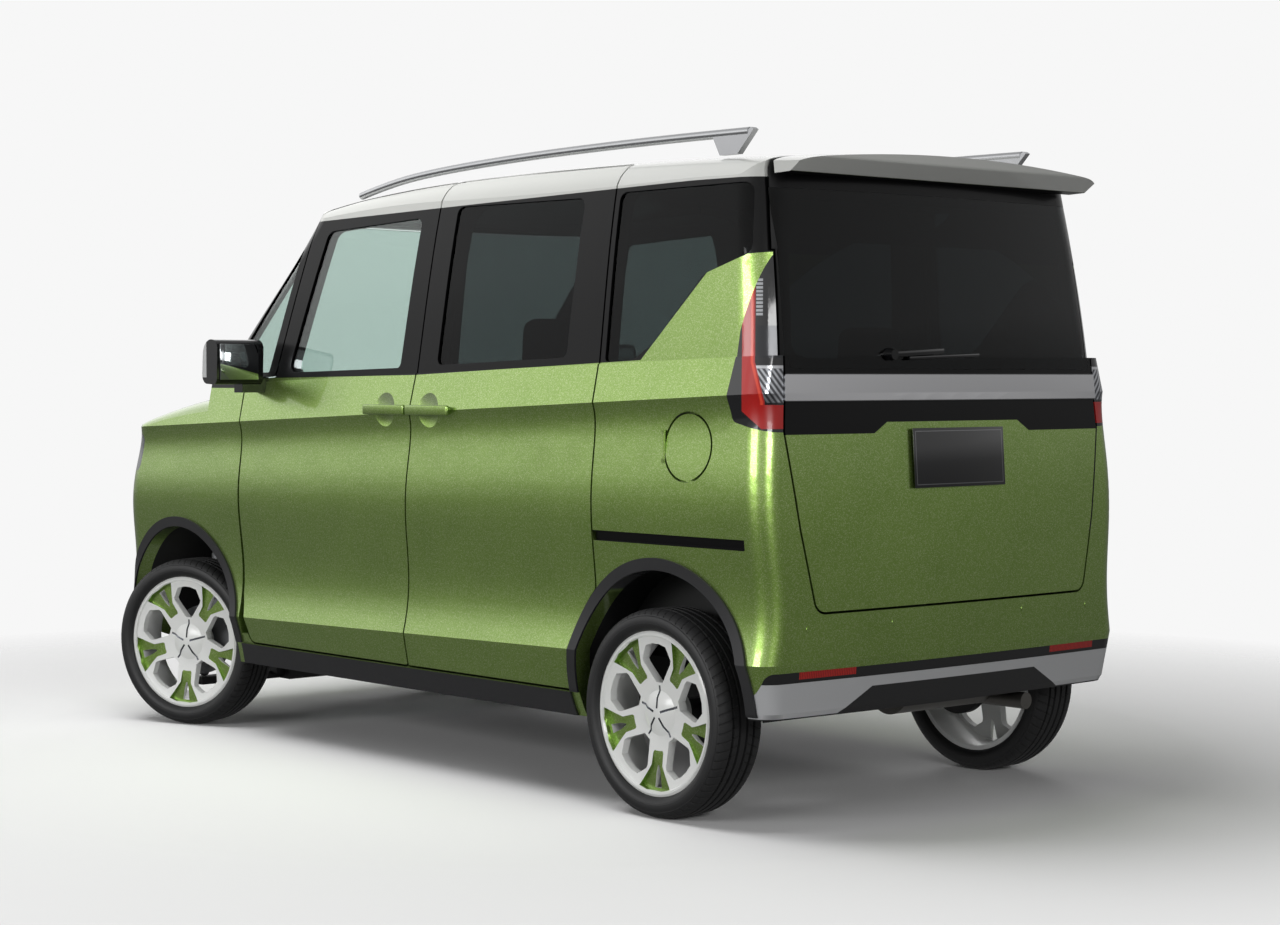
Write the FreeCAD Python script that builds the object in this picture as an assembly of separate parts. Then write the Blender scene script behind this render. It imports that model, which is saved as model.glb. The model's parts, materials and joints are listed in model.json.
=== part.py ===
import FreeCAD, Part
import math
import os
from FreeCAD import Placement, Rotation, Vector

# A tall kei wagon, as an assembly of real panels, glass, running gear and seats.
# Frame: millimetres, +Z up, the car faces -Y, +X is its left side, and the origin is on
# the floor under the middle of the car. The front wheels stand steered to the left.

doc = FreeCAD.newDocument("kei_wagon")

# Driving dimensions
SIZES = [
    ("overall_length", 3395.0),
    ("overall_width", 1475.0),
    ("wheelbase", 2495.0),
    ("front_overhang", 431.5),
    ("track", 1300.0),
    ("tyre_radius", 286.0),
    ("tyre_width", 165.0),
    ("rim_radius", 226.0),
    ("steer_rest_angle", 20.0),
    ("kingpin_reach", 45.0),
    ("sill_height", 232.0),
    ("door_bottom", 322.0),
    ("lower_crease_height", 418.0),
    ("crease_height", 1089.0),
    ("belt_height", 1208.0),
    ("drip_height", 1712.0),
    ("roof_height", 1832.0),
    ("rail_height", 1872.0),
    ("trim_proud", 7.0),
    ("panel_gap", 6.5),
    ("door_depth", 45.0),
    ("wall_depth", 50.0),
    ("frame_depth", 26.0),
    ("skin_depth", 26.0),
    ("glass_thickness", 5.0),
    ("glass_setback", 6.0),
    ("groove_depth", 12.0),
    ("seat_clearance", 0.3),
    ("arch_radius", 342.0),
    ("front_arch_radius", 350.0),
    ("arch_trim_width", 34.0),
    ("arch_rise", 50.0),
    ("arch_setback", 16.0),
    ("front_door_start", 422.0),
    ("front_door_length", 955.0),
    ("sliding_door_length", 866.0),
    ("fuel_lid_radius", 89.0),
    ("fuel_lid_height", 1014.0),
    ("fuel_lid_from_axle", 156.0),
    ("tailgate_bottom", 580.0),
    ("bumper_bottom", 305.0),
    ("floor_height", 262.0),
    ("floor_thickness", 22.0),
    ("seat_height", 560.0),
    ("seat_width", 560.0),
    ("steering_wheel_radius", 182.0),
    ("disc_radius", 118.0),
    ("hub_radius", 62.0),
    ("axle_beam_radius", 32.0),
    ("exhaust_radius", 24.0),
    ("muffler_radius", 78.0),
]

sheet = doc.addObject("Spreadsheet::Sheet", "Sizes")
for row, (alias, value) in enumerate(SIZES, start=1):
    sheet.set(f"A{row}", alias)
    sheet.set(f"B{row}", str(value))
    sheet.setAlias(f"B{row}", alias)
doc.recompute()


def size(alias):
    return float(sheet.get(alias))


half_width = size("overall_width") / 2
front_end = -size("overall_length") / 2
rear_end = size("overall_length") / 2
front_axle = front_end + size("front_overhang")
rear_axle = front_axle + size("wheelbase")
body_half = half_width - size("trim_proud")
gap = size("panel_gap")
clearance = size("seat_clearance")
tyre_radius = size("tyre_radius")
beyond = 200.0  # how far cutting solids reach past the body
left, right = 1, -1


def place(name, shape):
    """Adds a finished solid, or a few that share a node, to the document."""
    node = doc.addObject("Part::Feature", name)
    node.Label = name
    node.Shape = shape
    return node


def bezier(points):
    curve = Part.BezierCurve()
    curve.setPoles(points)
    return curve.toShape()


def crossing(p, d, q, e):
    """Where the line through p along d meets the line through q along e."""
    across = d[0] * e[1] - d[1] * e[0]
    along = ((q[0] - p[0]) * e[1] - (q[1] - p[1]) * e[0]) / across
    return (p[0] + along * d[0], p[1] + along * d[1])


def between(p, q, share):
    return (p[0] + (q[0] - p[0]) * share, p[1] + (q[1] - p[1]) * share)


# Plan sections of the body: height at y = 0, rise per mm towards the tail, half width, front
# and rear at the centre line, and the sizes of the corners and of the bow of each end.
class Level:
    def __init__(self, height, rise, half, front, rear, corner=(130, 62), bow=(48, 20), tuck=(9, 3)):
        self.height, self.rise, self.half = height, rise, half
        self.front, self.rear = front, rear
        self.corner, self.bow, self.tuck = corner, bow, tuck

    def z(self, y):
        return self.height + self.rise * y

    def half_outline(self, inset):
        """Poles of the front corner, the side and the rear corner on the left side."""
        least = 12.0
        front_corner = max(self.corner[0] - inset, least)
        rear_corner = max(self.corner[1] - inset, least)
        half = self.half - inset
        a = (half - front_corner, self.front + inset + self.bow[0])
        b = (half - self.tuck[0], a[1] + front_corner)
        d = (half - rear_corner, self.rear - inset - self.bow[1])
        c = (half - self.tuck[1], d[1] - rear_corner)
        middle = (2 * half - (b[0] + c[0]) / 2, (b[1] + c[1]) / 2)
        front_tangent = (a[0], 2 * self.bow[0])
        rear_tangent = (d[0], -2 * self.bow[1])
        p = crossing(a, front_tangent, b, (b[0] - middle[0], b[1] - middle[1]))
        q = crossing(d, rear_tangent, c, (c[0] - middle[0], c[1] - middle[1]))
        round_share = 0.58
        front_poles = [a, between(a, p, round_share), between(b, p, round_share), b]
        rear_poles = [c, between(c, q, round_share), between(d, q, round_share), d]
        return front_poles, [b, middle, c], rear_poles

    def wire(self, inset=0.0):
        front_poles, side_poles, rear_poles = self.half_outline(inset)
        a, d = front_poles[0], rear_poles[-1]
        front_middle = (0, self.front + inset - self.bow[0])
        rear_middle = (0, self.rear - inset + self.bow[1])

        def lift(points, mirror=1):
            return [Vector(mirror * x, y, self.z(y)) for x, y in points]

        edges = [bezier(lift([(-a[0], a[1]), front_middle, a]))]
        edges += [bezier(lift(poles)) for poles in (front_poles, side_poles, rear_poles)]
        edges += [bezier(lift([d, rear_middle, (-d[0], d[1])]))]
        for poles in (rear_poles, side_poles, front_poles):
            edges.append(bezier(lift(poles[::-1], -1)))
        return Part.Wire(edges)


def loft(levels, inset=0.0, ruled=False):
    return Part.makeLoft([level.wire(inset) for level in levels], True, ruled)


crease, belt, drip = size("crease_height"), size("belt_height"), size("drip_height")
crease_rise, belt_rise, drip_rise = 0.042, 0.030, 0.016
lower_crease = size("lower_crease_height")
waist = crease - lower_crease

sill_level = Level(size("sill_height"), 0.0, body_half - 46, front_end + 95, rear_end - 60)
door_level = Level(size("door_bottom"), 0.0, body_half - 20, front_end + 34, rear_end - 16)
lower_level = Level(lower_crease, 0.02, body_half, front_end + 6, rear_end - 2)
dip_level = Level(lower_crease + 0.11 * waist, 0.02, body_half - 13, front_end, rear_end)
middle_level = Level(lower_crease + 0.42 * waist, 0.02, body_half - 7, front_end + 2, rear_end - 4)
hip_level = Level(lower_crease + 0.70 * waist, 0.03, body_half - 1, front_end + 16, rear_end - 14)
tuck_level = Level(lower_crease + 0.89 * waist, 0.04, body_half - 14, front_end + 36, rear_end - 24)
crease_level = Level(crease, crease_rise, body_half - 5, front_end + 58, rear_end - 30)
belt_level = Level(belt, belt_rise, body_half - 30, front_end + 170, rear_end - 36)

glass_corner, glass_bow = (120, 95), (62, 28)
glass_height = drip - belt
glass_base = Level(
    belt, belt_rise, body_half - 34, front_end + 548, rear_end - 40, glass_corner, glass_bow
)
glass_middle = Level(
    belt + 0.5 * glass_height, 0.5 * (belt_rise + drip_rise), body_half - 56,
    front_end + 805, rear_end - 66, glass_corner, glass_bow,
)
glass_top = Level(
    drip, drip_rise, body_half - 86, front_end + 1052, rear_end - 98, glass_corner, glass_bow
)
roof_top = Level(
    drip + 220, drip_rise, body_half - 126, front_end + 1150, rear_end - 120, glass_corner, glass_bow
)


def crown_section(y, half, shoulder_z, turn_z, crown_z, turn_in, floor_z, flare, inset):
    """An upright section across the car: a crowned top with round shoulders."""
    half, shoulder_z = half - inset, shoulder_z - inset
    turn_z, crown_z = turn_z - inset, crown_z - inset
    turn_x = half - turn_in
    slope = 2 * (crown_z - turn_z) / turn_x
    top = [Vector(turn_x, y, turn_z), Vector(0, y, turn_z + slope * turn_x), Vector(-turn_x, y, turn_z)]
    lean = 0.35 * (turn_z - shoulder_z)
    knee = Vector(half - lean * 0.5, y, shoulder_z + lean * 2)
    brow = Vector(turn_x + 0.55 * turn_in, y, turn_z - slope * 0.55 * turn_in)

    def mirrored(points):
        return [Vector(-p.x, p.y, p.z) for p in points]

    shoulder = [Vector(half, y, shoulder_z), knee, brow, top[0]]
    corner = Vector(half + flare, y, floor_z)
    edges = [
        Part.makeLine(mirrored([corner])[0], corner),
        Part.makeLine(corner, shoulder[0]),
        bezier(shoulder),
        bezier(top),
        bezier(mirrored(shoulder)[::-1]),
        Part.makeLine(mirrored(shoulder)[0], mirrored([corner])[0]),
    ]
    return Part.Wire(edges)


def bonnet_envelope(inset):
    """The space under the bonnet's crowned skin, from ahead of the nose to the cowl."""
    floor_z = lower_crease
    # distance behind the front end, half width inside the body side, shoulder, turn and crown
    # heights against the crease height
    stations = [
        (-60, 70, -190, -170, -140),
        (58, 40, -125, -92, -62),
        (130, 22, -88, -52, -16),
        (240, 12, -66, -14, 22),
        (400, 5, -58, 22, 60),
        (570, 0, -52, 46, 80),
        (760, -2, -40, 60, 92),
    ]
    wires = [
        crown_section(
            front_end + back, body_half - narrower, crease + shoulder, crease + turn, crease + crown,
            150, floor_z, 60, inset,
        )
        for back, narrower, shoulder, turn, crown in stations
    ]
    return Part.makeLoft(wires, True, False)


def roof_envelope(inset):
    """The space under the roof's crowned skin, over the whole length of the glass."""
    floor_z = belt - 150
    roof = size("roof_height")
    stations = [
        (480, 0, -330, -449, -425),
        (780, 4, -130, -214, -190),
        (1080, 4, -40, -98, -74),
        (1380, 2, -18, -56, -34),
        (1680, 0, -8, -36, -12),
        (1980, 0, -3, -27, -3),
        (2280, 0, 1, -24, 0),
        (2580, 0, 4, -25, -1),
        (2880, 0, 7, -30, -6),
        (3180, 2, 9, -41, -17),
        (3480, 6, 10, -60, -35),
    ]
    wires = [
        crown_section(
            front_end + back, body_half - 82 - narrower, drip + shoulder, roof + turn, roof + crown,
            125, floor_z, 110, inset,
        )
        for back, narrower, shoulder, turn, crown in stations
    ]
    return Part.makeLoft(wires, True, False)


def lower_body(inset):
    """The painted lower body, from the sills to the belt line, with the bonnet's crown."""
    skirt = loft([sill_level, door_level, lower_level], inset, True)
    side = loft([lower_level, dip_level, middle_level, hip_level, tuck_level, crease_level], inset)
    shoulder = loft([crease_level, belt_level], inset, True)
    body = skirt.fuse([side, shoulder])
    cowl = front_end + 640
    over = Part.makeBox(
        4 * half_width, cowl - front_end + beyond, belt, Vector(-2 * half_width, front_end - beyond, crease - 250)
    )
    return body.cut(over.cut(bonnet_envelope(inset)))


def glasshouse(inset):
    """The upper body, from the belt line to the roof's crown."""
    tower = loft([glass_base, glass_middle, glass_top, roof_top], inset)
    return tower.common(roof_envelope(inset))


def whole_body(inset):
    return lower_body(inset).fuse(glasshouse(inset))


# Outlines drawn on a side, front or plan view, with a corner radius after each point
def side_point(y, z, at):
    return Vector(at, y, z)


def front_point(x, z, at):
    return Vector(x, at, z)


def plan_point(x, y, at):
    return Vector(x, y, at)


def rounded_wire(points, view, at):
    corners = [(Vector(p[0], p[1], 0), p[2] if len(p) > 2 else 0) for p in points]
    ends, arcs = [], []
    for i, (corner, radius) in enumerate(corners):
        before = corners[i - 1][0]
        after = corners[(i + 1) % len(corners)][0]
        to_before = (before - corner).normalize()
        to_after = (after - corner).normalize()
        half_angle = to_before.getAngle(to_after) / 2
        if radius > 0 and half_angle < math.radians(89.5):
            reach = radius / math.tan(half_angle)
            start, stop = corner + to_before * reach, corner + to_after * reach
            inwards = (to_before + to_after).normalize()
            middle = corner + inwards * (radius / math.sin(half_angle) - radius)
            arcs.append((start, middle, stop))
            ends.append((start, stop))
        else:
            arcs.append(None)
            ends.append((corner, corner))

    def placed(p):
        return view(p.x, p.y, at)

    edges = []
    for i, arc in enumerate(arcs):
        if arc:
            edges.append(Part.Arc(*[placed(p) for p in arc]).toShape())
        start, stop = ends[i][1], ends[(i + 1) % len(ends)][0]
        if start.distanceToPoint(stop) > 1e-3:
            edges.append(Part.makeLine(placed(start), placed(stop)))
    return Part.Wire(edges)


def prism(points, view, start, stop):
    """An outline pushed through from one depth to another."""
    face = Part.Face(rounded_wire(points, view, start))
    along = view(0, 0, stop) - view(0, 0, start)
    return face.extrude(along)


def grown(points, amount):
    """The same outline with every side moved outwards, and its corners rounder."""
    area = sum(
        points[i - 1][0] * points[i][1] - points[i][0] * points[i - 1][1] for i in range(len(points))
    )
    outwards = 1 if area > 0 else -1
    lines = []
    for i, p in enumerate(points):
        q = points[(i + 1) % len(points)]
        dx, dy = q[0] - p[0], q[1] - p[1]
        length = math.hypot(dx, dy)
        nx, ny = outwards * dy / length, -outwards * dx / length
        lines.append(((p[0] + nx * amount, p[1] + ny * amount), (dx, dy)))
    moved = []
    for i, p in enumerate(points):
        (a, d), (b, e) = lines[i - 1], lines[i]
        x, y = crossing(a, d, b, e)
        radius = max(p[2] + amount, 1.0) if len(p) > 2 and p[2] > 0 else 0
        moved.append((x, y, radius))
    return moved


def side_prism(points, side=left, start=None):
    """A side view outline pushed through one side of the body."""
    start = half_width * 0.55 if start is None else start
    return prism(points, side_point, side * start, side * (half_width + beyond))


def slab(low, high):
    return Part.makeBox(high[0] - low[0], high[1] - low[1], high[2] - low[2], Vector(*low))


def mirrored(shape):
    return shape.mirror(Vector(0, 0, 0), Vector(1, 0, 0))


def both(shape):
    return Part.makeCompound([shape, mirrored(shape)])


def solids_of(shape, least=500.0):
    """The solids of a shape without slivers left by cutting."""
    kept = [s for s in shape.Solids if s.Volume > least]
    return kept[0] if len(kept) == 1 else Part.makeCompound(kept)


print("body skins")
outer = whole_body(0.0)
door_core = whole_body(size("door_depth"))
wall_core = whole_body(size("wall_depth") - clearance)
frame_face = whole_body(size("wall_depth"))
frame_core = whole_body(size("wall_depth") + size("frame_depth"))
groove_core = whole_body(size("groove_depth"))
glass_face = whole_body(size("glass_setback"))
glass_core = whole_body(size("glass_setback") + size("glass_thickness"))
slot_face = whole_body(size("glass_setback") - clearance)
slot_core = whole_body(size("glass_setback") + size("glass_thickness") + clearance)

# Shut lines of the doors and the tailgate, at the middle of each gap
door_front = front_axle + size("front_door_start")
split = door_front + size("front_door_length")
door_rear = split + size("sliding_door_length") + 6
door_foot = size("door_bottom") - 5
front_door_line = [
    (door_front + 44, door_foot, 30), (split - 22, door_foot, 10), (split + 6, crease), (split + 11, belt),
    (split + 70, drip + 81, 22), (split - 140, drip + 72), (split - 400, drip + 55),
    (door_front + 352, drip + 26, 40), (door_front + 172, belt - 5, 14), (door_front + 2, belt - 14, 24),
    (door_front, crease - 20), (door_front + 8, lower_crease + 60, 60),
]
sliding_door_line = [
    (split - 22, door_foot, 10), (door_rear - 60, door_foot, 10), (door_rear, crease - 480, 30),
    (door_rear, crease), (door_rear - 4, belt + 30), (door_rear + 12, drip + 84, 22),
    (split + 350, drip + 86), (split + 70, drip + 81, 22), (split + 11, belt), (split + 6, crease),
]
front_window = [
    (door_front + 247, belt + 7, 26), (split - 81, belt + 21, 20), (split - 24, drip - 24, 26),
    (split - 260, drip - 33), (door_front + 417, drip - 44, 40),
]
sliding_window = [
    (split + 108, belt + 29, 20), (door_rear - 152, belt + 48, 22), (door_rear - 120, drip - 5, 26),
    (split + 153, drip + 0, 26),
]
quarter_window = [
    (door_rear + 18, belt + 34, 14), (door_rear + 136, belt + 40, 60), (door_rear + 214, belt + 84, 60),
    (door_rear + 400, drip - 236, 40), (door_rear + 568, drip - 186, 30), (door_rear + 548, drip + 4, 30),
    (door_rear + 30, drip + 2, 26),
]
front_quarter_window = [
    (door_front - 112, belt + 6, 10), (door_front + 130, belt + 8, 12), (door_front + 282, drip - 78, 6),
]
tailgate_foot = size("tailgate_bottom")
tailgate_line = [
    (-548, tailgate_foot, 40), (548, tailgate_foot, 40), (600, 800, 60), (643, 1058, 10), (636, 1136, 10),
    (628, 1300), (612, 1560), (-612, 1560), (-628, 1300), (-636, 1136, 10), (-643, 1058, 10), (-600, 800, 60),
]
tailgate_seam = rear_end - 150  # top shut line, across the roof
tailgate_shoulder = 1534
tailgate_top_line = [
    (rear_end - 116, tailgate_shoulder), (rear_end + beyond, tailgate_shoulder),
    (rear_end + beyond, drip + 260), (tailgate_seam, drip + 260), (tailgate_seam, drip + 40),
]
lamp_line = [
    (rear_end - 108, 1527, 12), (rear_end - 160, 1323, 60), (rear_end - 176, 1140, 40),
    (rear_end - 160, 1084, 20), (rear_end - 38, 1056), (rear_end + beyond, 1056), (rear_end + beyond, 1527),
]
arch_outer = size("arch_radius") + size("arch_trim_width")
front_arch_outer = size("front_arch_radius") + size("arch_trim_width")
front_arch = (front_axle + size("arch_setback") + 10, tyre_radius + size("arch_rise"))
rear_arch = (rear_axle + size("arch_setback"), tyre_radius + size("arch_rise"))
bumper_line = [
    (rear_end - 106, 752, 20), (rear_end + beyond, 752), (rear_end + beyond, size("bumper_bottom") - 60),
    (rear_arch[0] + 100, size("bumper_bottom") - 60), (rear_arch[0] + 100, 480), (rear_end - 206, 606),
]
bonnet_rear = front_end + 512
bonnet_line = [
    (-640, bonnet_rear, 20), (640, bonnet_rear, 20), (652, front_end + 330), (628, front_end + 170, 40),
    (540, front_end + 92, 60), (0, front_end + 60), (-540, front_end + 92, 60), (-628, front_end + 170, 40),
    (-652, front_end + 330),
]
bumper_top = crease - 218
nose_line = [
    (front_end - beyond, size("bumper_bottom") - 90), (front_arch[0] - 100, size("bumper_bottom") - 90),
    (front_arch[0] - 100, 500), (front_end + 168, 640), (front_end + 150, bumper_top),
    (front_end - beyond, bumper_top),
]
headlamp_line = [
    (front_end - beyond, bumper_top), (front_end + 190, bumper_top, 30), (front_end + 215, crease - 96, 20),
    (front_end + 110, crease - 70), (front_end - beyond, crease - 70),
]
headlamp_inner = 395


def across(points, start, stop, amount=0.0):
    """A side view outline pushed through from x = start to x = stop."""
    return prism(grown(points, amount) if amount else points, side_point, start, stop)


def along(points, start, stop, amount=0.0):
    """A front view outline pushed through from y = start to y = stop."""
    return prism(grown(points, amount) if amount else points, front_point, start, stop)


side_in, side_out = half_width * 0.5, half_width + beyond


def arch_bore(center, radius, x_in=side_in, x_out=side_out):
    return Part.makeCylinder(radius, x_out - x_in, Vector(x_in, center[0], center[1]), Vector(1, 0, 0))


def report(name, shape):
    print(name, shape.isValid(), [round(s.Volume / 1e3) for s in shape.Solids])


half_gap = gap / 2
door_in = body_half - 160
hole_in = door_in - gap
nose, tail = front_end - beyond, rear_end + beyond
left_half = slab((0, nose, 0), (side_out, tail, drip + 400))
left_outer = outer.common(left_half)
left_wall = left_outer.cut(wall_core)
report("left wall", left_wall)

print("doors and glass")
front_door_hole = across(front_door_line, hole_in, side_out, half_gap)
sliding_door_hole = across(sliding_door_line, hole_in, side_out, half_gap).cut(arch_bore(rear_arch, arch_outer))
arch_gap_bore = arch_bore(rear_arch, arch_outer + gap)
front_door = left_outer.common(across(front_door_line, door_in, side_out, -half_gap)).cut(door_core)
front_door = front_door.cut(across(front_window, side_in, side_out))
sliding_door = left_outer.common(across(sliding_door_line, door_in, side_out, -half_gap)).cut(door_core)
sliding_door = sliding_door.cut([arch_gap_bore, across(sliding_window, side_in, side_out)])
lap = 12.0
left_pane = glass_face.common(left_half).cut(glass_core)
left_slot = slot_face.common(left_half).cut(slot_core)


def glaze(panel, window):
    """The pane of a window, and the panel with the channel that holds the pane."""
    pane = left_pane.common(across(window, side_in, side_out, lap))
    channel = left_slot.common(across(window, side_in, side_out, lap + clearance))
    return solids_of(pane), panel.cut(channel)


front_door_pane, front_door = glaze(front_door, front_window)
sliding_pane, sliding_door = glaze(sliding_door, sliding_window)
report("front door", front_door)
report("sliding door", sliding_door)
place("front_door_left", solids_of(front_door))
place("front_door_right", solids_of(mirrored(front_door)))
place("sliding_door_left", solids_of(sliding_door))
place("sliding_door_right", solids_of(mirrored(sliding_door)))
place("front_door_glass_left", front_door_pane)
place("front_door_glass_right", mirrored(front_door_pane))

# Hinge pins: the fuel lid's stands in its gap, the bonnet's lie beside its rear corners
fuel_lid_center = (rear_axle + size("fuel_lid_from_axle") - 16, size("fuel_lid_height"))
fuel_pin = (body_half - 9, fuel_lid_center[0] - size("fuel_lid_radius") - 3)
bonnet_pin = (bonnet_rear + 2, crease + 35)
pin_radius = 5.0


def bonnet_pins(radius):
    rod = Part.makeCylinder(radius, 60, Vector(510, *bonnet_pin), Vector(1, 0, 0))
    return both(rod)


def fuel_rod(radius, half_length=45):
    foot = Vector(fuel_pin[0], fuel_pin[1], fuel_lid_center[1] - half_length)
    return Part.makeCylinder(radius, 2 * half_length, foot, Vector(0, 0, 1))


print("tailgate")
hatch_start = rear_end - 132
tailgate_hole = along(tailgate_line, hatch_start, tail, half_gap).fuse(
    across(tailgate_top_line, -side_out, side_out, half_gap)
)
tailgate_body = along(tailgate_line, hatch_start, tail, -half_gap).fuse(
    across(tailgate_top_line, -side_out, side_out, -half_gap)
)
tailgate_window = [
    (-616, 1222, 18), (616, 1222, 18), (606, 1544, 6), (720, 1545, 8), (720, 1700, 20), (-720, 1700, 20),
    (-720, 1545, 8), (-606, 1544, 6),
]
tailgate = outer.common(tailgate_body).cut(wall_core)
pane_edge = [
    (rear_end - 90, 1150), (rear_end - 106, 1540), (rear_end - 142, drip - 6), (rear_end - 142, drip + 300),
    (tail, drip + 300), (tail, 1150),
]
behind_pillar = across(pane_edge, -side_out, side_out)
tailgate_opening = [
    (-585, 1250, 40), (585, 1250, 40), (560, 1672, 50), (-560, 1672, 50),
]
tailgate = tailgate.cut(along(tailgate_opening, hatch_start, tail))
pane_prism = along(tailgate_window, hatch_start - 40, tail).common(behind_pillar)
# the rear pane lies on the outside of the frame, flush with the skin
pane_core = whole_body(9.0)
pane_bed = pane_core
tailgate_pane = outer.cut(pane_core).common(pane_prism)
bed_prism = along(tailgate_window, hatch_start - 40, tail, clearance).common(
    across(pane_edge, -side_out, side_out, clearance)
)
bed_core = whole_body(9.0 + clearance)
tailgate = tailgate.cut(outer.cut(bed_core).common(bed_prism))
report("tailgate", tailgate)
report("tailgate pane", tailgate_pane)
garnish_line = [
    (-638, 1136, 6), (638, 1136, 6), (634, 1211, 10), (-634, 1211, 10),
]
garnish = whole_body(-5.0).cut(whole_body(-clearance)).common(along(garnish_line, rear_end - 120, tail))
garnish_trim = (
    along([(-638, 1050, 8), (-318, 1050, 12), (-268, 1080, 12), (268, 1080, 12), (318, 1050, 12), (638, 1050, 8),
           (640, 1134), (-640, 1134)], rear_end - 120, tail)
)
report("garnish", garnish)
spoiler_solid = prism(
    [(rear_end - 140, drip + 200), (rear_end - 5, drip + 200), (rear_end - 5, 1776, 8), (rear_end - 60, 1738, 12),
     (rear_end - 118, 1736)], side_point, -604, 604)
spoiler_solid = spoiler_solid.common(roof_envelope(-0.5)).cut(whole_body(-clearance))
report("spoiler", spoiler_solid)
place("tailgate", solids_of(tailgate))
place("tailgate_glass", solids_of(tailgate_pane))
place("tailgate_garnish", solids_of(garnish))
place("rear_spoiler", solids_of(spoiler_solid))

print("fixed shell")
# the wheel bays reach into the wall as round holes
front_bore = arch_bore(front_arch, size("front_arch_radius"))
rear_bore = arch_bore(rear_arch, size("arch_radius"))
lamp_hole = across(lamp_line, side_in, side_out)
bumper_hole = across(bumper_line, -side_out, side_out)
roof_line = [
    (nose, drip - 12), (door_front + 340, drip - 9), (door_front + 352, drip + 26), (split - 400, drip + 55),
    (split - 140, drip + 72), (split + 70, drip + 81), (split + 350, drip + 86), (door_rear + 12, drip + 84),
    (door_rear + 12, drip + 21), (rear_end - 100, drip + 16), (tail, drip + 16), (tail, drip + 400),
    (nose, drip + 400),
]
doors_hole = front_door_hole.fuse(sliding_door_hole)
roof_hole = across(roof_line, -side_out, side_out).fuse(
    slab((-hole_in, front_end + 1000, drip - 12), (hole_in, rear_end, drip + 400))
)
glass_front_edge = door_front + 345
windscreen_line = [
    (-652, belt - 22, 14), (652, belt - 22, 14), (588, drip - 16, 30), (-588, drip - 16, 30),
]
windscreen_prism = along(windscreen_line, nose, glass_front_edge)
body_bottom = size("sill_height") + 12

quarter = left_wall.cut([doors_hole, roof_hole, tailgate_hole, rear_bore])
front_part = slab((0, nose, 0), (side_out, door_front - 5, drip + 400))
side_wall = quarter.cut(slab((0, nose, 0), (side_out, front_arch[0] + 200, drip + 400)))
side_wall = side_wall.cut([lamp_hole, bumper_hole, front_bore, slab((0, nose, 0), (side_out, tail, body_bottom))])
side_wall = side_wall.cut(slab((0, nose, door_foot + 30), (side_out, split - 30, drip + 400)))
side_wall = side_wall.cut(across(quarter_window, side_in, side_out))
quarter_pane, side_wall = glaze(side_wall, quarter_window)
fuel_bore = Part.makeCylinder(
    size("fuel_lid_radius") + gap, 300, Vector(half_width - 100, *fuel_lid_center), Vector(1, 0, 0)
)
fuel_plug = Part.makeCylinder(
    size("fuel_lid_radius"), 300, Vector(half_width - 100, *fuel_lid_center), Vector(1, 0, 0)
)
well_core = whole_body(size("groove_depth") + 12)
fuel_lid = left_outer.common(fuel_plug).cut([groove_core, fuel_rod(pin_radius - 1 + clearance)])
rail_slot = across(
    [(door_rear - 8, 748, 6), (rear_end - 106, 752, 10), (rear_end - 106, 776, 10), (door_rear - 8, 774, 6)],
    side_in, side_out,
)
side_wall_left = side_wall.cut(left_outer.common(fuel_bore).cut(well_core))
channel_cut = left_outer.common(rail_slot).cut(groove_core)
side_wall_left = side_wall_left.cut(channel_cut)
pin_feet = [
    slab((fuel_pin[0] - 4, fuel_pin[1] - 8, z), (fuel_pin[0] + 4, fuel_pin[1] + 3, z + 12))
    for z in (fuel_lid_center[1] - 45, fuel_lid_center[1] + 33)
]
side_wall_left = side_wall_left.fuse([fuel_rod(pin_radius - 1)] + pin_feet)
fuel_lid = fuel_lid.cut([slab((fuel_pin[0] - 30, fuel_pin[1] - 9, z - 3), (fuel_pin[0] + 30, fuel_pin[1] + 9, z + 15))
                         for z in (fuel_lid_center[1] - 45, fuel_lid_center[1] + 33)])
side_wall_right = mirrored(side_wall.cut(channel_cut))
report("side wall", side_wall_left)
place("body_side_left", solids_of(side_wall_left, 2e5))
place("body_side_right", solids_of(side_wall_right, 2e5))
report("fuel lid", fuel_lid)
place("fuel_lid", solids_of(fuel_lid))

full_wall = outer.cut(wall_core)
roof = full_wall.common(roof_hole).cut([
    front_door_hole, sliding_door_hole, mirrored(front_door_hole), mirrored(sliding_door_hole), tailgate_hole,
    along(windscreen_line, nose, glass_front_edge + 400, clearance).common(
        slab((-side_out, nose, 0), (side_out, front_end + 1030, drip + 60))),
])
report("roof", roof)
place("roof_panel", solids_of(roof, 1e6))

pillar_zone = slab((540, nose, belt - 44), (side_out, door_front + 400, drip + 400))
pillar = left_wall.common(pillar_zone).cut([front_door_hole, roof_hole, windscreen_prism])
pillar = pillar.cut(slab((0, nose, 0), (side_out, front_end + 560, drip + 400)).common(
    slab((0, nose, 0), (side_out, tail, belt - 14))))
pillar = solids_of(pillar, 1e5).cut(across(front_quarter_window, side_in, side_out))
front_quarter_pane, pillar = glaze(pillar, front_quarter_window)
report("pillar", pillar)
windscreen = glass_face.common(along(windscreen_line, nose, glass_front_edge, -clearance)).cut(glass_core)
report("windscreen", windscreen)
place("windscreen", solids_of(windscreen))
place("a_pillars", both(solids_of(pillar, 3e5)))
place("front_quarter_glass", both(front_quarter_pane))
place("side_glass", both(Part.makeCompound([sliding_pane, quarter_pane])))

lamp = left_wall.common(lamp_hole).cut(tailgate_hole)
report("tail lamp", lamp)
place("tail_lamps", both(solids_of(lamp)))

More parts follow.
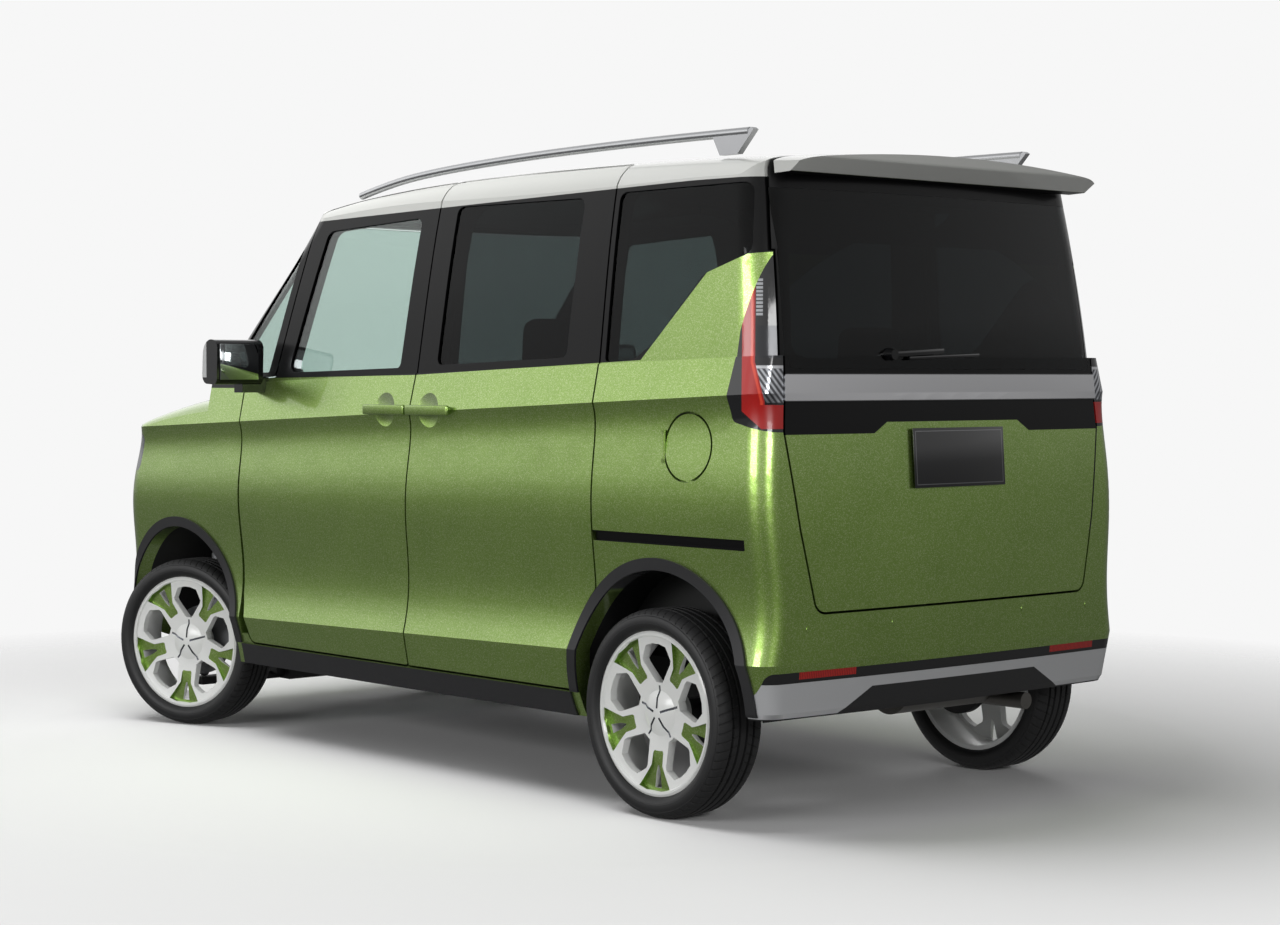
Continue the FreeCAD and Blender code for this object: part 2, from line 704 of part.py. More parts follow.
print("bumpers")
rear_bumper = full_wall.common(across(bumper_line, -side_out, side_out)).cut([tailgate_hole])
rear_bumper = rear_bumper.cut(slab((-side_out, nose, 0), (side_out, tail, size("bumper_bottom"))))
rear_bumper = rear_bumper.cut([rear_bore, mirrored(rear_bore)])
skid_line = [(-724, 300), (724, 300), (706, 430, 20), (-706, 430, 20)]
skid_prism = along(skid_line, rear_end - 130, tail)
skid_zone = rear_bumper.common(skid_prism)
rear_bumper = rear_bumper.cut(along(skid_line, rear_end - 130, tail, clearance))
insert_prism = slab((-side_out, nose, 402), (side_out, tail, 440))
skid = skid_zone.cut(slab((-side_out, nose, 402 - clearance), (side_out, tail, 440)))
insert = skid_zone.common(insert_prism)
report("rear bumper", rear_bumper)
report("skid", skid)
place("rear_bumper", solids_of(rear_bumper))
place("rear_skid_plate", solids_of(skid))
place("rear_bumper_insert", solids_of(insert))

nose_prism = across(nose_line, -side_out, side_out)
front_bumper = full_wall.common(nose_prism).cut([front_bore, mirrored(front_bore)])
grille_line = [(-395, 620, 20), (395, 620, 20), (380, bumper_top + 30), (-380, bumper_top + 30)]
grille_prism = along(grille_line, nose, front_end + 200)
intake_line = [(-430, 300, 30), (430, 300, 30), (380, 470, 30), (-380, 470, 30)]
front_bumper = front_bumper.cut([grille_prism, slab((-side_out, nose, 0), (side_out, tail, size("sill_height") + 6))])
report("front bumper", front_bumper)
place("front_bumper", solids_of(front_bumper))
lamp_band = across(headlamp_line, -side_out, side_out)
grille = full_wall.common(grille_prism.fuse(lamp_band.common(slab((-headlamp_inner, nose, 0), (headlamp_inner, 0, 2000)))))
grille = grille.cut(along(grille_line, nose, 0, clearance).cut(along(grille_line, nose, 0)))
report("grille", grille)
place("front_grille", solids_of(grille))
head = left_wall.common(across(headlamp_line, headlamp_inner + clearance, side_out, -clearance))
report("head", head)
place("headlamps", both(solids_of(head)))

bonnet_prism = prism(grown(bonnet_line, -half_gap), plan_point, crease - 64, drip)
bonnet_prism_hole = prism(grown(bonnet_line, half_gap), plan_point, crease - 64 - gap, drip)
skin_core = whole_body(size("skin_depth"))
bonnet = outer.common(bonnet_prism).cut(skin_core)
ears = [slab((530, bonnet_pin[0] - 50, bonnet_pin[1] - 12), (550, bonnet_pin[0] + 8, bonnet_pin[1] + 5))]
ears = both(ears[0]).common(outer)
bonnet = bonnet.fuse(ears.Solids).cut(bonnet_pins(pin_radius + clearance))
report("bonnet", bonnet)
fender = left_wall.common(slab((0, nose, 0), (side_out, door_front - half_gap, belt + 60))).cut([
    front_door_hole, across(nose_line, -side_out, side_out), bonnet_prism_hole, front_bore, pillar_zone,
    across(headlamp_line, -side_out, side_out), slab((0, nose, 0), (side_out, tail, body_bottom)),
])
fender = fender.cut(slab((0, front_arch[0], 0), (side_out, tail, door_foot + 30)))
report("fender", fender)
fender = fender.cut(slab((0, nose, belt - 130), (640 + clearance, front_end + 660, belt + 60)))
place("fenders", both(solids_of(fender, 1e6)))
cowl = full_wall.common(slab((-640, bonnet_rear + half_gap, belt - 120), (640, front_end + 640, belt + 40)))
cowl = cowl.cut([windscreen_prism, pillar_zone, mirrored(pillar_zone)])
recess = slab((-700, nose, belt - 200), (700, front_end + 547, belt + 60))
cowl = cowl.cut(recess).fuse(frame_face.cut(frame_core).common(
    slab((-566, bonnet_rear + half_gap - 20, belt - 120), (566, front_end + 560, belt + 60))))
brackets = []
for x in (512, 555):
    brackets.append(slab((x, bonnet_pin[0] - 7, bonnet_pin[1] - 70), (x + 13, bonnet_pin[0] + 7, bonnet_pin[1] + 5)))
brackets = both(Part.makeCompound(brackets))
cowl = cowl.fuse(brackets.Solids + bonnet_pins(pin_radius).Solids)
bonnet = bonnet.cut([s for s in both(Part.makeCompound([
    slab((x - 2, bonnet_pin[0] - 14, bonnet_pin[1] - 80), (x + 15, bonnet_pin[0] + 14, bonnet_pin[1] + 12))
    for x in (512, 555)])).Solids])
report("cowl", cowl)
place("cowl_panel", solids_of(cowl, 1e5))
place("bonnet", solids_of(bonnet))

print("wheels")
hub_x = size("track") / 2
tyre_half = size("tyre_width") / 2
rim_radius = size("rim_radius")


def profile_solid(points):
    """A closed profile of (distance along the axle, radius) turned about the X axis."""
    wire = Part.makePolygon([Vector(x, 0, r) for x, r in points + points[:1]])
    return Part.Face(wire).revolve(Vector(0, 0, 0), Vector(1, 0, 0), 360)


def make_tyre():
    r, b = tyre_radius, rim_radius
    w = tyre_half
    half = [(w - 34, r), (w - 12, r - 7), (w - 3, r - 22), (w, r - 40), (w - 6, b + 8), (w - 16, b + clearance)]
    points = half + [(-x, y) for x, y in half[::-1]]
    return profile_solid(points)


def make_rim():
    b, w = rim_radius, tyre_half - 16
    barrel = profile_solid([(-w, b), (w, b), (w + 4, b - 6), (w - 2, b - 14), (w - 26, b - 22), (-w, b - 14)])
    face = profile_solid([
        (w - 4, b - 12), (w - 12, 150), (w - 26, 60), (w - 24, 0.01), (w - 60, 0.01), (w - 60, 70),
        (w - 44, 150), (w - 30, b - 12),
    ])
    window = prism([(-26, 92, 8), (26, 92, 8), (66, 148, 12), (44, 186, 12), (-44, 186, 12), (-66, 148, 12)],
                   side_point, 0, 200)
    windows = [window.copy().rotate(Vector(0, 0, 0), Vector(1, 0, 0), 72 * i) for i in range(5)]
    hub = Part.makeCylinder(size("hub_radius"), 60, Vector(w - 84, 0, 0), Vector(1, 0, 0))
    bore = Part.makeCylinder(size("hub_radius") * 0.5, 40, Vector(w - 90, 0, 0), Vector(1, 0, 0))
    return barrel.fuse([face.cut(windows), hub]).removeSplitter().cut(bore)


def make_knuckle():
    """Hub carrier, brake disc guard and strut of the left front wheel; hub centre at the origin."""
    w = tyre_half - 16
    spindle = Part.makeCylinder(size("hub_radius") * 0.5 - 0.5, 60, Vector(w - 114, 0, 0), Vector(1, 0, 0))
    reach = size("kingpin_reach")
    block = slab((-reach - 46, -34, -95), (-reach + 18, 34, 70))
    ball = Part.makeSphere(19, Vector(-reach, 0, -112))
    arm = slab((-reach - 62, -40, 20), (-reach - 20, 40, 140))
    top = Vector(*kingpin_top)
    low = Vector(-reach - 62, 0, 120)
    strut_axis = top - low
    tube = Part.makeCylinder(26, strut_axis.Length * 0.45, low, strut_axis)
    rod = Part.makeCylinder(11, strut_axis.Length - 2, low, strut_axis)
    disc = Part.makeCylinder(size("disc_radius"), 8, Vector(w - 104, 0, 0), Vector(1, 0, 0))
    return spindle.fuse([block, ball, arm, tube, rod, disc])


kingpin_foot = (-size("kingpin_reach"), 0, -112)
kingpin_top = (-size("kingpin_reach") - 78, 0, 512)
turn = size("steer_rest_angle")
kingpin_axis = (Vector(*kingpin_top) - Vector(*kingpin_foot)).normalize()


def steered(shape, side, hub_z=0.0):
    """A front wheel piece of the left side, set at its rest angle on the given side."""
    shape = shape if side == left else mirrored(shape)
    axis = Vector(side * kingpin_axis.x, 0, kingpin_axis.z)
    turned = shape.rotate(Vector(side * kingpin_foot[0], 0, kingpin_foot[2]), axis, turn)
    return turned.translate(Vector(side * hub_x, front_axle, hub_z))


tyre, rim, knuckle = make_tyre(), make_rim(), make_knuckle()
report("rim", rim)
report("knuckle", knuckle)
for side, word in ((left, "left"), (right, "right")):
    probe = steered(tyre.copy(), side)
    hub_z = -probe.optimalBoundingBox().ZMin
    place(f"front_tyre_{word}", steered(tyre.copy(), side, hub_z))
    place(f"front_rim_{word}", steered(rim.copy(), side, hub_z))
    place(f"knuckle_{word}", steered(knuckle.copy(), side, hub_z))
    foot = Vector(side * (hub_x + kingpin_foot[0]), front_axle, hub_z + kingpin_foot[2])
    axis = Vector(side * kingpin_axis.x, 0, kingpin_axis.z)
    spin = Rotation(axis, turn).multVec(Vector(1, 0, 0))
    hub = Rotation(axis, turn).multVec(Vector(side * size("kingpin_reach"), 0, 112)) + foot
    print(word, "hub", hub, "spin", spin, "kingpin foot", foot, "axis", axis)
    rear_tyre = tyre if side == left else mirrored(tyre)
    rear_rim = rim if side == left else mirrored(rim)
    at = Vector(side * hub_x, rear_axle, tyre_radius)
    place(f"rear_tyre_{word}", rear_tyre.translated(at))
    place(f"rear_rim_{word}", rear_rim.translated(at))
front_hub_z = hub_z

print("chassis")
floor_z, floor_t = size("floor_height"), size("floor_thickness")
floor_top = floor_z + floor_t
rear_floor = floor_top + 172
bay_inner = 385.0
rear_bay_inner = 540.0
firewall_y = door_front - 44


def boxes(*spans):
    """Boxes given as (x0, x1, y0, y1, z0, z1), fused into one piece."""
    made = [slab((a, c, e), (b, d, f)) for a, b, c, d, e, f in spans]
    fused = made[0].fuse(made[1:]) if len(made) > 1 else made[0]
    return fused.removeSplitter()


def paired(*spans):
    """The same boxes on the left, and mirrored on the right."""
    return list(spans) + [(-b, -a, c, d, e, f) for a, b, c, d, e, f in spans]


sill_in = body_half - size("wall_depth") - 22
jack_z = size("sill_height") - 12
floor_pan = boxes(
    (-sill_in, sill_in, firewall_y, door_rear - 110, floor_z, floor_top),
    (-rear_bay_inner, rear_bay_inner, door_rear - 130, door_rear - 110, floor_z, rear_floor + 20),
    (-rear_bay_inner, rear_bay_inner, door_rear - 130, rear_end - 62, rear_floor, rear_floor + 20),
    (-rear_bay_inner, rear_bay_inner, rear_end - 90, rear_end - 62, 330, tailgate_foot - 14),
    (-sill_in, sill_in, firewall_y, firewall_y + 20, floor_z, belt - 90),
    *paired(
        (sill_in - 90, sill_in, firewall_y, door_rear - 150, body_bottom + 8, floor_top + 34),
        (sill_in - 86, sill_in - 26, door_front + 20, door_front + 100, jack_z, body_bottom + 20),
        (sill_in - 86, sill_in - 26, door_rear - 290, door_rear - 210, jack_z, body_bottom + 20),
        (bay_inner - 15, bay_inner, front_end + 110, firewall_y + 10, 330, 850),
        (300, bay_inner, front_end + 110, firewall_y + 10, 330, 420),
        (bay_inner - 15, 620, front_axle - 80, front_axle + 80, 812, 836),
    ),
    (-bay_inner, bay_inner, front_end + 110, front_end + 150, 330, 420),
)
bays = []
for center, inner, radius in (
    (front_arch, bay_inner, size("front_arch_radius")), (rear_arch, rear_bay_inner + 1, size("arch_radius")),
):
    bay = arch_bore(center, radius + 4, inner, side_out)
    bay = bay.cut(arch_bore(center, radius, inner + 4, side_out))
    if center is rear_arch:
        bay = bay.cut(slab((0, nose, 0), (inner + 4.5, tail, rear_floor - 40)))
    bay = bay.common(frame_face).cut(slab((0, nose, 0), (side_out, tail, floor_z + 30)))
    if center is front_arch:
        bay = bay.cut(Part.makeCylinder(80, 400, Vector(545, front_axle, 560), Vector(0, 0, 1)))
        bay = bay.cut(slab((0, nose, 0), (side_out, front_end + 100, 2000)))
    bays += [bay, mirrored(bay)]
floor_pan = floor_pan.fuse(bays).common(frame_face)
report("floor pan", floor_pan)
place("floor_pan", solids_of(floor_pan, 1e5))

hub_center = Vector(hub_x, front_axle, front_hub_z)
ball_z = front_hub_z + kingpin_foot[2]
arm_span = (300, hub_x - size("kingpin_reach") + 24, front_axle - 26, front_axle + 26, ball_z - 46, ball_z - 19.3)
front_subframe = boxes(
    (-310, 310, front_axle - 60, front_axle + 90, ball_z - 46, ball_z - 6),
    *paired(arm_span, (303, 345, front_axle - 40, front_axle + 60, ball_z - 30, 330 - clearance)),
)
report("front subframe", front_subframe)
place("front_subframe", front_subframe)

engine = boxes(
    (-280, 200, front_axle - 230, front_axle + 110, 260, 760),
    (200, 299.7, front_axle - 120, front_axle + 60, 340, 400),
    (-299.7, -280, front_axle - 120, front_axle + 60, 340, 400),
)
place("engine_block", engine)

beam_y = rear_axle - 95
beam = Part.makeCylinder(size("axle_beam_radius"), 2 * (hub_x - 140), Vector(-(hub_x - 140), beam_y, tyre_radius - 12), Vector(1, 0, 0))
rear_arms = []
for side in (left, right):
    x0, x1 = sorted((side * (hub_x - 176), side * (hub_x - 136)))
    rear_arms.append(slab((x0, rear_axle - 330, tyre_radius - 40), (x1, rear_axle + 40, tyre_radius + 24)))
    w = tyre_half - 16
    start = Vector(side * (hub_x - 150), rear_axle, tyre_radius)
    rear_arms.append(Part.makeCylinder(size("hub_radius") * 0.5 - 0.5, w - 54 + 150, start, Vector(side, 0, 0)))
    rear_arms.append(Part.makeCylinder(size("disc_radius") - 10, 30, Vector(side * (hub_x - 138), rear_axle, tyre_radius), Vector(side, 0, 0)))
    spring = Part.makeCylinder(42, rear_floor - tyre_radius - 20 - clearance, Vector(side * (hub_x - 190), rear_axle - 40, tyre_radius + 20), Vector(0, 0, 1))
    rear_arms.append(spring)
    pivot = slab((x0, rear_axle - 330, tyre_radius - 30), (x1, rear_axle - 270, rear_floor - 172 - 22 - clearance))
    rear_arms.append(pivot)
rear_axle_node = beam.fuse(rear_arms)
report("rear axle", rear_axle_node)
place("rear_axle", rear_axle_node)

muffler = Part.makeCylinder(size("muffler_radius"), 420, Vector(-360, rear_end - 215, 330), Vector(1, 0, 0))
pipe_z = size("bumper_bottom") - size("exhaust_radius") - 7
tail_pipe = Part.makeCylinder(size("exhaust_radius"), 160, Vector(-330, rear_end - 200, pipe_z), Vector(0, 1, 0))
hangers = slab((-200, rear_end - 225, 380), (-100, rear_end - 205, rear_floor - clearance))
exhaust = muffler.fuse([tail_pipe, hangers])
report("exhaust", exhaust)
place("exhaust", exhaust)
tank = slab((-430, split + 190, 176), (280, split + 640, floor_z - clearance))
place("fuel_tank", tank)

print("inside")
dash = prism(
    [(firewall_y + 20 + clearance, 720), (firewall_y + 20 + clearance, belt - 40), (firewall_y + 200, belt - 50, 60),
     (firewall_y + 330, belt - 150, 50), (firewall_y + 250, 740, 60)], side_point, -640, 640)
dash = dash.common(frame_face)
column_axis = Vector(0, math.cos(math.radians(25)), math.sin(math.radians(25)))
wheel_center = Vector(-345, firewall_y + 455, 1010)
column_start = wheel_center - column_axis * 230
column = Part.makeCylinder(28, 170, column_start, column_axis)
dash = dash.fuse(column)
report("dash", dash)
place("dashboard", dash)
rim_ring = Part.makeTorus(size("steering_wheel_radius"), 14, wheel_center, column_axis)
boss = Part.makeCylinder(58, 45, wheel_center - column_axis * 45, column_axis)
spoke_plane = Rotation(Vector(0, 0, 1), column_axis)
spokes = []
for angle in (0, 180, 270):
    spoke = slab((0, -17, -16), (size("steering_wheel_radius"), 17, -4))
    spoke = spoke.rotate(Vector(0, 0, 0), Vector(0, 0, 1), angle)
    spoke.Placement = Placement(wheel_center, spoke_plane).multiply(spoke.Placement)
    spokes.append(spoke)
post = Part.makeCylinder(19, 16, wheel_center - column_axis * 60 + column_axis * clearance, column_axis)
steering_wheel = rim_ring.fuse([boss, post] + spokes)
report("steering wheel", steering_wheel)
place("steering_wheel", steering_wheel)


def seat(x, y, width, z, back_height, lean, rest=True):
    """A seat: cushion, leaning back and head rest, on a foot that stands on the floor."""
    half = width / 2
    cushion = prism([(y, z - 90, 36), (y + 480, z - 90, 36), (y + 500, z - 5, 36), (y, z, 44)], side_point, x - half, x + half)
    foot = slab((x - half + 60, y + 60, floor_top + clearance), (x + half - 60, y + 395, z - 80))
    run = math.tan(math.radians(lean))
    top = z + back_height
    back = prism(
        [(y + 400, z - 60, 30), (y + 500, z - 60, 30), (y + 505 + back_height * run, top, 36),
         (y + 410 + back_height * run, top, 36)], side_point, x - half + 10, x + half - 10)
    pieces = [foot, back]
    if rest:
        ry = y + 425 + (back_height + 60) * run
        pieces.append(prism([(ry, top + 20, 30), (ry + 85, top + 20, 30), (ry + 95, top + 210, 34), (ry + 25, top + 210, 34)],
                            side_point, x - 130, x + 130))
        for dx in (-60, 60):
            pieces.append(Part.makeCylinder(8, 90, Vector(x + dx, ry + 40, top - 45), Vector(0, 0, 1)))
    return cushion.fuse(pieces)


seat_z = size("seat_height") + 60
front_seats = Part.makeCompound([
    solids_of(seat(side * 315, door_front + 520, size("seat_width") - 20, seat_z, 560, 16)) for side in (left, right)
])
report("front seats", front_seats)
place("front_seats", front_seats)
rear_seats = Part.makeCompound([
    solids_of(seat(side * 262, split + 330, 500, seat_z + 10, 520, 18)) for side in (left, right)
])
place("rear_seats", rear_seats)

print("trims and fittings")
proud = whole_body(-size("trim_proud"))
proud_seat = whole_body(-clearance)
left_proud = proud.common(left_half).cut(proud_seat)
trims = []
for center, radius in ((front_arch, size("front_arch_radius")), (rear_arch, size("arch_radius"))):
    ring = arch_bore(center, radius + size("arch_trim_width")).cut(arch_bore(center, radius))
    ring = ring.common(slab((0, nose, size("bumper_bottom") + 8), (side_out, tail, 1200)))
    trims.append(solids_of(left_proud.common(ring), 3000))
report("arch trims", Part.makeCompound(trims))
place("wheel_arch_trims", both(Part.makeCompound(trims)))
sill_strip = left_proud.common(slab((0, front_arch[0] + front_arch_outer - 20, body_bottom), (side_out, rear_arch[0] - arch_outer + 20, door_foot - 6)))
sill_strip = sill_strip.cut([arch_bore(front_arch, front_arch_outer + clearance), arch_bore(rear_arch, arch_outer + clearance)])
report("sill trims", sill_strip)
place("sill_trims", both(solids_of(sill_strip)))

frame_lines = [
    [(split - 20, door_foot + 30), (split + 90, door_foot + 30), (split + 130, drip), (split + 130, drip + 60), (split - 20, drip + 60), (split - 20, drip)],
]
rail_band = [
    (door_front + 300, drip + 4), (split - 400, drip + 36), (split + 70, drip + 60), (door_rear + 300, drip + 66),
    (door_rear + 300, drip + 130), (split, drip + 130), (door_front + 300, drip + 90),
]
frame_shell = frame_face.common(left_half).cut(frame_core)
frame = frame_shell.common(across(frame_lines[0], side_in, side_out).fuse(across(rail_band, side_in, side_out)))
report("frame", frame)
place("side_frames", both(solids_of(frame)))

rail_z = size("roof_height")
rail_path = [(door_front + 470, -24), (split + 60, 8), (door_rear + 480, 4)]
rail = prism(
    [(door_front + 476, drip + 76, 10), (door_front + 620, drip + 132, 60), (split + 150, size("rail_height") - 6, 200),
     (door_rear + 200, size("rail_height"), 100), (door_rear + 484, drip + 158, 12), (door_rear + 486, drip + 128, 12),
     (door_rear + 400, drip + 130, 20), (door_rear + 200, size("rail_height") - 26, 60), (split + 150, size("rail_height") - 30, 200),
     (door_front + 660, drip + 104, 40), (door_front + 560, drip + 66)], side_point, 545, 572)
rail = rail.fuse(slab((545, door_rear + 440, drip + 60), (572, door_rear + 484, drip + 140)))
rail = rail.cut(whole_body(-clearance))
report("roof rail", rail)
place("roof_rails", both(solids_of(rail)))

mirror_head = prism([(door_front + 60, 1180, 30), (door_front + 150, 1176, 20), (door_front + 156, 1318, 30), (door_front + 70, 1330, 50)],
                    side_point, body_half - 26, body_half + 150)
mirror_head = mirror_head.translate(Vector(20, 0, 0))
mirror_arm = slab((body_half - 60, door_front + 80, 1150), (body_half + 60, door_front + 130, 1200)).cut(whole_body(-clearance))
mirror = solids_of(mirror_head.fuse(mirror_arm).cut(whole_body(-clearance)), 1e5)
report("mirror", mirror)
place("door_mirror_left", mirror)
place("door_mirror_right", mirrored(mirror))
handle_z = crease + 11
for_handles = []
for y in (split - 236, split + 30):
    bar = slab((body_half - 40, y, handle_z - 14), (body_half + 22, y + 200, handle_z + 14))
    bar = bar.cut(slab((body_half - 40, y + 26, handle_z - 20), (body_half + 10, y + 174, handle_z + 20)))
    for_handles.append(bar)
front_handle = for_handles[0].cut(whole_body(-clearance))
rear_handle = for_handles[1].cut(whole_body(-clearance))
report("handles", front_handle)

print("files")
doc.recompute()
os.makedirs("parts", exist_ok=True)
for node in doc.Objects:
    if node.TypeId == "Spreadsheet::Sheet":
        continue
    if "Invalid" in node.State or "Error" in node.State:
        raise SystemExit(f"{node.Label} did not rebuild")
    if node.Shape.isNull() or not node.Shape.isValid():
        print("BAD", node.Label)
        continue
    node.Shape.exportStep(os.path.join("parts", f"{node.Label}.step"))
    b = node.Shape.BoundBox
print(len(os.listdir("parts")), "parts written")
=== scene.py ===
import json
import math

import bmesh
import bpy
from mathutils import Matrix, Vector
from mathutils.bvhtree import BVHTree


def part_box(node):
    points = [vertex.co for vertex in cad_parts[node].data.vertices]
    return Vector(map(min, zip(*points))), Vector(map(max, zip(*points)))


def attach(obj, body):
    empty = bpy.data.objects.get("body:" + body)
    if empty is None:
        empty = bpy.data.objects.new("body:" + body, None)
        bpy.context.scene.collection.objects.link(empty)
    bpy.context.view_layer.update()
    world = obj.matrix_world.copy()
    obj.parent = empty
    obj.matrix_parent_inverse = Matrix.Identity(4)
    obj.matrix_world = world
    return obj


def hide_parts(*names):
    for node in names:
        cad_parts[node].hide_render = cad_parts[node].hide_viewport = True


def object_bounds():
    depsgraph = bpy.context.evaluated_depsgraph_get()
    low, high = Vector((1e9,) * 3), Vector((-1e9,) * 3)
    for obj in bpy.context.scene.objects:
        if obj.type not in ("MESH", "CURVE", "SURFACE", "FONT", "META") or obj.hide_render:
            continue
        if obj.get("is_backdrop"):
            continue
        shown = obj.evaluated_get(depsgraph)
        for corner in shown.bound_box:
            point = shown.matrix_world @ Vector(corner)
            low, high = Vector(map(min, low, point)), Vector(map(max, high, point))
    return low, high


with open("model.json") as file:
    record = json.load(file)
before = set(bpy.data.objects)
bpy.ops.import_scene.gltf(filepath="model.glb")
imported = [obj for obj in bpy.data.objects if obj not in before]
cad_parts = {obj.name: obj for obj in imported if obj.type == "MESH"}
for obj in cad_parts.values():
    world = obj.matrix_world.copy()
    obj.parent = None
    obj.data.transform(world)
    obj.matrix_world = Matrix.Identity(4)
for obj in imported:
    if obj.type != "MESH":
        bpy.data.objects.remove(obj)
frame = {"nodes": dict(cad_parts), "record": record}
nodes = frame["nodes"]
record = frame["record"]
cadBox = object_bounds()
scene = bpy.context.scene
scene.view_settings.view_transform = "Standard"
print("frame loaded:", len(nodes), "pieces")

# camera: behind the left rear corner, a little above the door handles
cameraView = {
    "place": (5.202, 6.283, 1.201),
    "heading": 138.7255,     # degrees
    "pitch": -1.962,
    "lens": 70.22,           # mm
    "sensor": 36.0,          # mm across
}
cameraData = bpy.data.cameras.new("studioCamera")
cameraData.lens = cameraView["lens"]
cameraData.sensor_width = cameraView["sensor"]
cameraData.clip_end = 100.0
camera = bpy.data.objects.new("studioCamera", cameraData)
scene.collection.objects.link(camera)
heading = Matrix.Rotation(math.radians(cameraView["heading"]), 4, "Z")
pitch = Matrix.Rotation(math.radians(90 + cameraView["pitch"]), 4, "X")
camera.matrix_world = Matrix.Translation(cameraView["place"]) @ heading @ pitch
scene.camera = camera


# small tools for node trees
def linear(hexText):
    # an sRGB colour as hex text, turned to the linear one that shaders take
    parts = [int(hexText[i:i + 2], 16) / 255 for i in (1, 3, 5)]
    return tuple(c / 12.92 if c <= 0.04045 else ((c + 0.055) / 1.055) ** 2.4 for c in parts) + (1.0,)


def addNode(tree, kind, inputs=None, **settings):
    node = tree.nodes.new(kind)
    for name, value in settings.items():
        setattr(node, name, value)
    for name, value in (inputs or {}).items():
        if isinstance(value, bpy.types.NodeSocket):
            tree.links.new(value, node.inputs[name])
        else:
            node.inputs[name].default_value = value
    return node


def newMaterial(name):
    material = bpy.data.materials.new(name)
    material.use_nodes = True
    tree = material.node_tree
    tree.nodes.clear()
    output = addNode(tree, "ShaderNodeOutputMaterial")
    shader = addNode(tree, "ShaderNodeBsdfPrincipled")
    tree.links.new(shader.outputs[0], output.inputs["Surface"])
    coords = addNode(tree, "ShaderNodeTexCoord").outputs["Object"]
    return material, tree, shader, coords, output


def setShader(shader, **values):
    for name, value in values.items():
        socket = shader.inputs[name.replace("_", " ")]
        if isinstance(value, bpy.types.NodeSocket):
            shader.id_data.links.new(value, socket)
        else:
            socket.default_value = value


def blendColours(tree, factor, first, second):
    mix = addNode(tree, "ShaderNodeMix", {0: factor, 6: first, 7: second}, data_type="RGBA")
    return mix.outputs[2]


def calc(tree, operation, first, second=0.0):
    return addNode(tree, "ShaderNodeMath", {0: first, 1: second}, operation=operation).outputs[0]


def times(tree, first, second):
    return calc(tree, "MULTIPLY", first, second)


def plus(tree, first, second):
    return calc(tree, "ADD", first, second)


def minus(tree, first, second):
    return calc(tree, "SUBTRACT", first, second)


def noise(tree, coords, sizeMm, detail=2.0, rough=0.5):
    values = {"Vector": coords, "Scale": 1000.0 / sizeMm, "Detail": detail, "Roughness": rough}
    return addNode(tree, "ShaderNodeTexNoise", values).outputs["Fac"]


def bump(tree, height, depthMm, strength=1.0):
    values = {"Height": height, "Distance": depthMm / 1000.0, "Strength": strength}
    return addNode(tree, "ShaderNodeBump", values).outputs["Normal"]


def spread(tree, value, low, high, newLow=0.0, newHigh=1.0):
    values = {0: value, 1: low, 2: high, 3: newLow, 4: newHigh}
    return addNode(tree, "ShaderNodeMapRange", values).outputs[0]


def isNumber(*values):
    return not any(isinstance(value, bpy.types.NodeSocket) for value in values)


def between(tree, mask, first, second):
    # what is the same all over stays a number, so that it stands on the shader's own socket
    if isNumber(first, second) and (isNumber(mask) or first == second):
        return first + (second - first) * (mask if isNumber(mask) else 0.0)
    return spread(tree, mask, 0.0, 1.0, first, second)


# a mask is 0 or 1, with a soft edge of twice the width, in metres
def step(tree, value, edge=0.0, width=0.0004):
    return spread(tree, value, edge - width, edge + width)


def band(tree, value, low, high, width=0.0005):
    return minus(tree, step(tree, value, low, width), step(tree, value, high, width))


def split(tree, coords):
    parts = addNode(tree, "ShaderNodeSeparateXYZ", {0: coords})
    return parts.outputs[0], parts.outputs[1], parts.outputs[2]


# studio: a pale floor that fades into the backdrop, and wide soft lamps overhead and at the sides.
# Paint and metal mirror a long bright strip above a dim horizon, which draws the panels' creases
studio = {
    "floorSize": 60.0,
    "floorColour": "#dcdcdc",
    "floorBright": 1.0,      # the floor's own colour to the camera, near white
    "floorInPaint": 0.17,    # how bright the floor shows in paint and metal
    "backdrop": 0.93,        # what the camera sees behind the car
    "fadeStart": 2.0,        # metres from the car's middle where the floor starts to fade
    "fadeEnd": 4.4,
    "fill": 0.07,            # what the backdrop adds to matt surfaces
    "horizon": 0.34,         # what paint and metal mirror, from the floor up
    "strip": 1.32,
    "zenith": 0.55,
    "stripFoot": (0.02, 0.16),        # the strip brightens between these slopes of a mirrored ray
    "stripTop": (0.34, 0.7),          # and dims between these
    "leftFront": (0.66, -0.75),       # the direction in which the strip is full
    "weakens": (-0.7, 0.5),           # how far along it the strip starts to grow and is full
    "behind": 0.5,           # how much of the strip is left at the right rear
    "mirrored": ("leftPanel", "rearPanel"),     # the lamps that show in paint and glass
}
lamps = {                    # name: place, aimed at, size, watts
    "overheadPanel": ((1.3, -0.9, 5.0), (0.0, 0.2, 0.5), (3.0, 3.8), 190),
    "leftPanel": ((10.5, 0.4, 3.4), (0.0, 0.2, 0.8), (6.4, 2.2), 330),
    "rearPanel": ((2.4, 7.4, 2.6), (0.0, 0.8, 0.9), (2.6, 1.4), 120),
    "frontPanel": ((-5.4, -4.4, 3.0), (0.0, -0.4, 0.8), (3.2, 2.2), 90),
}


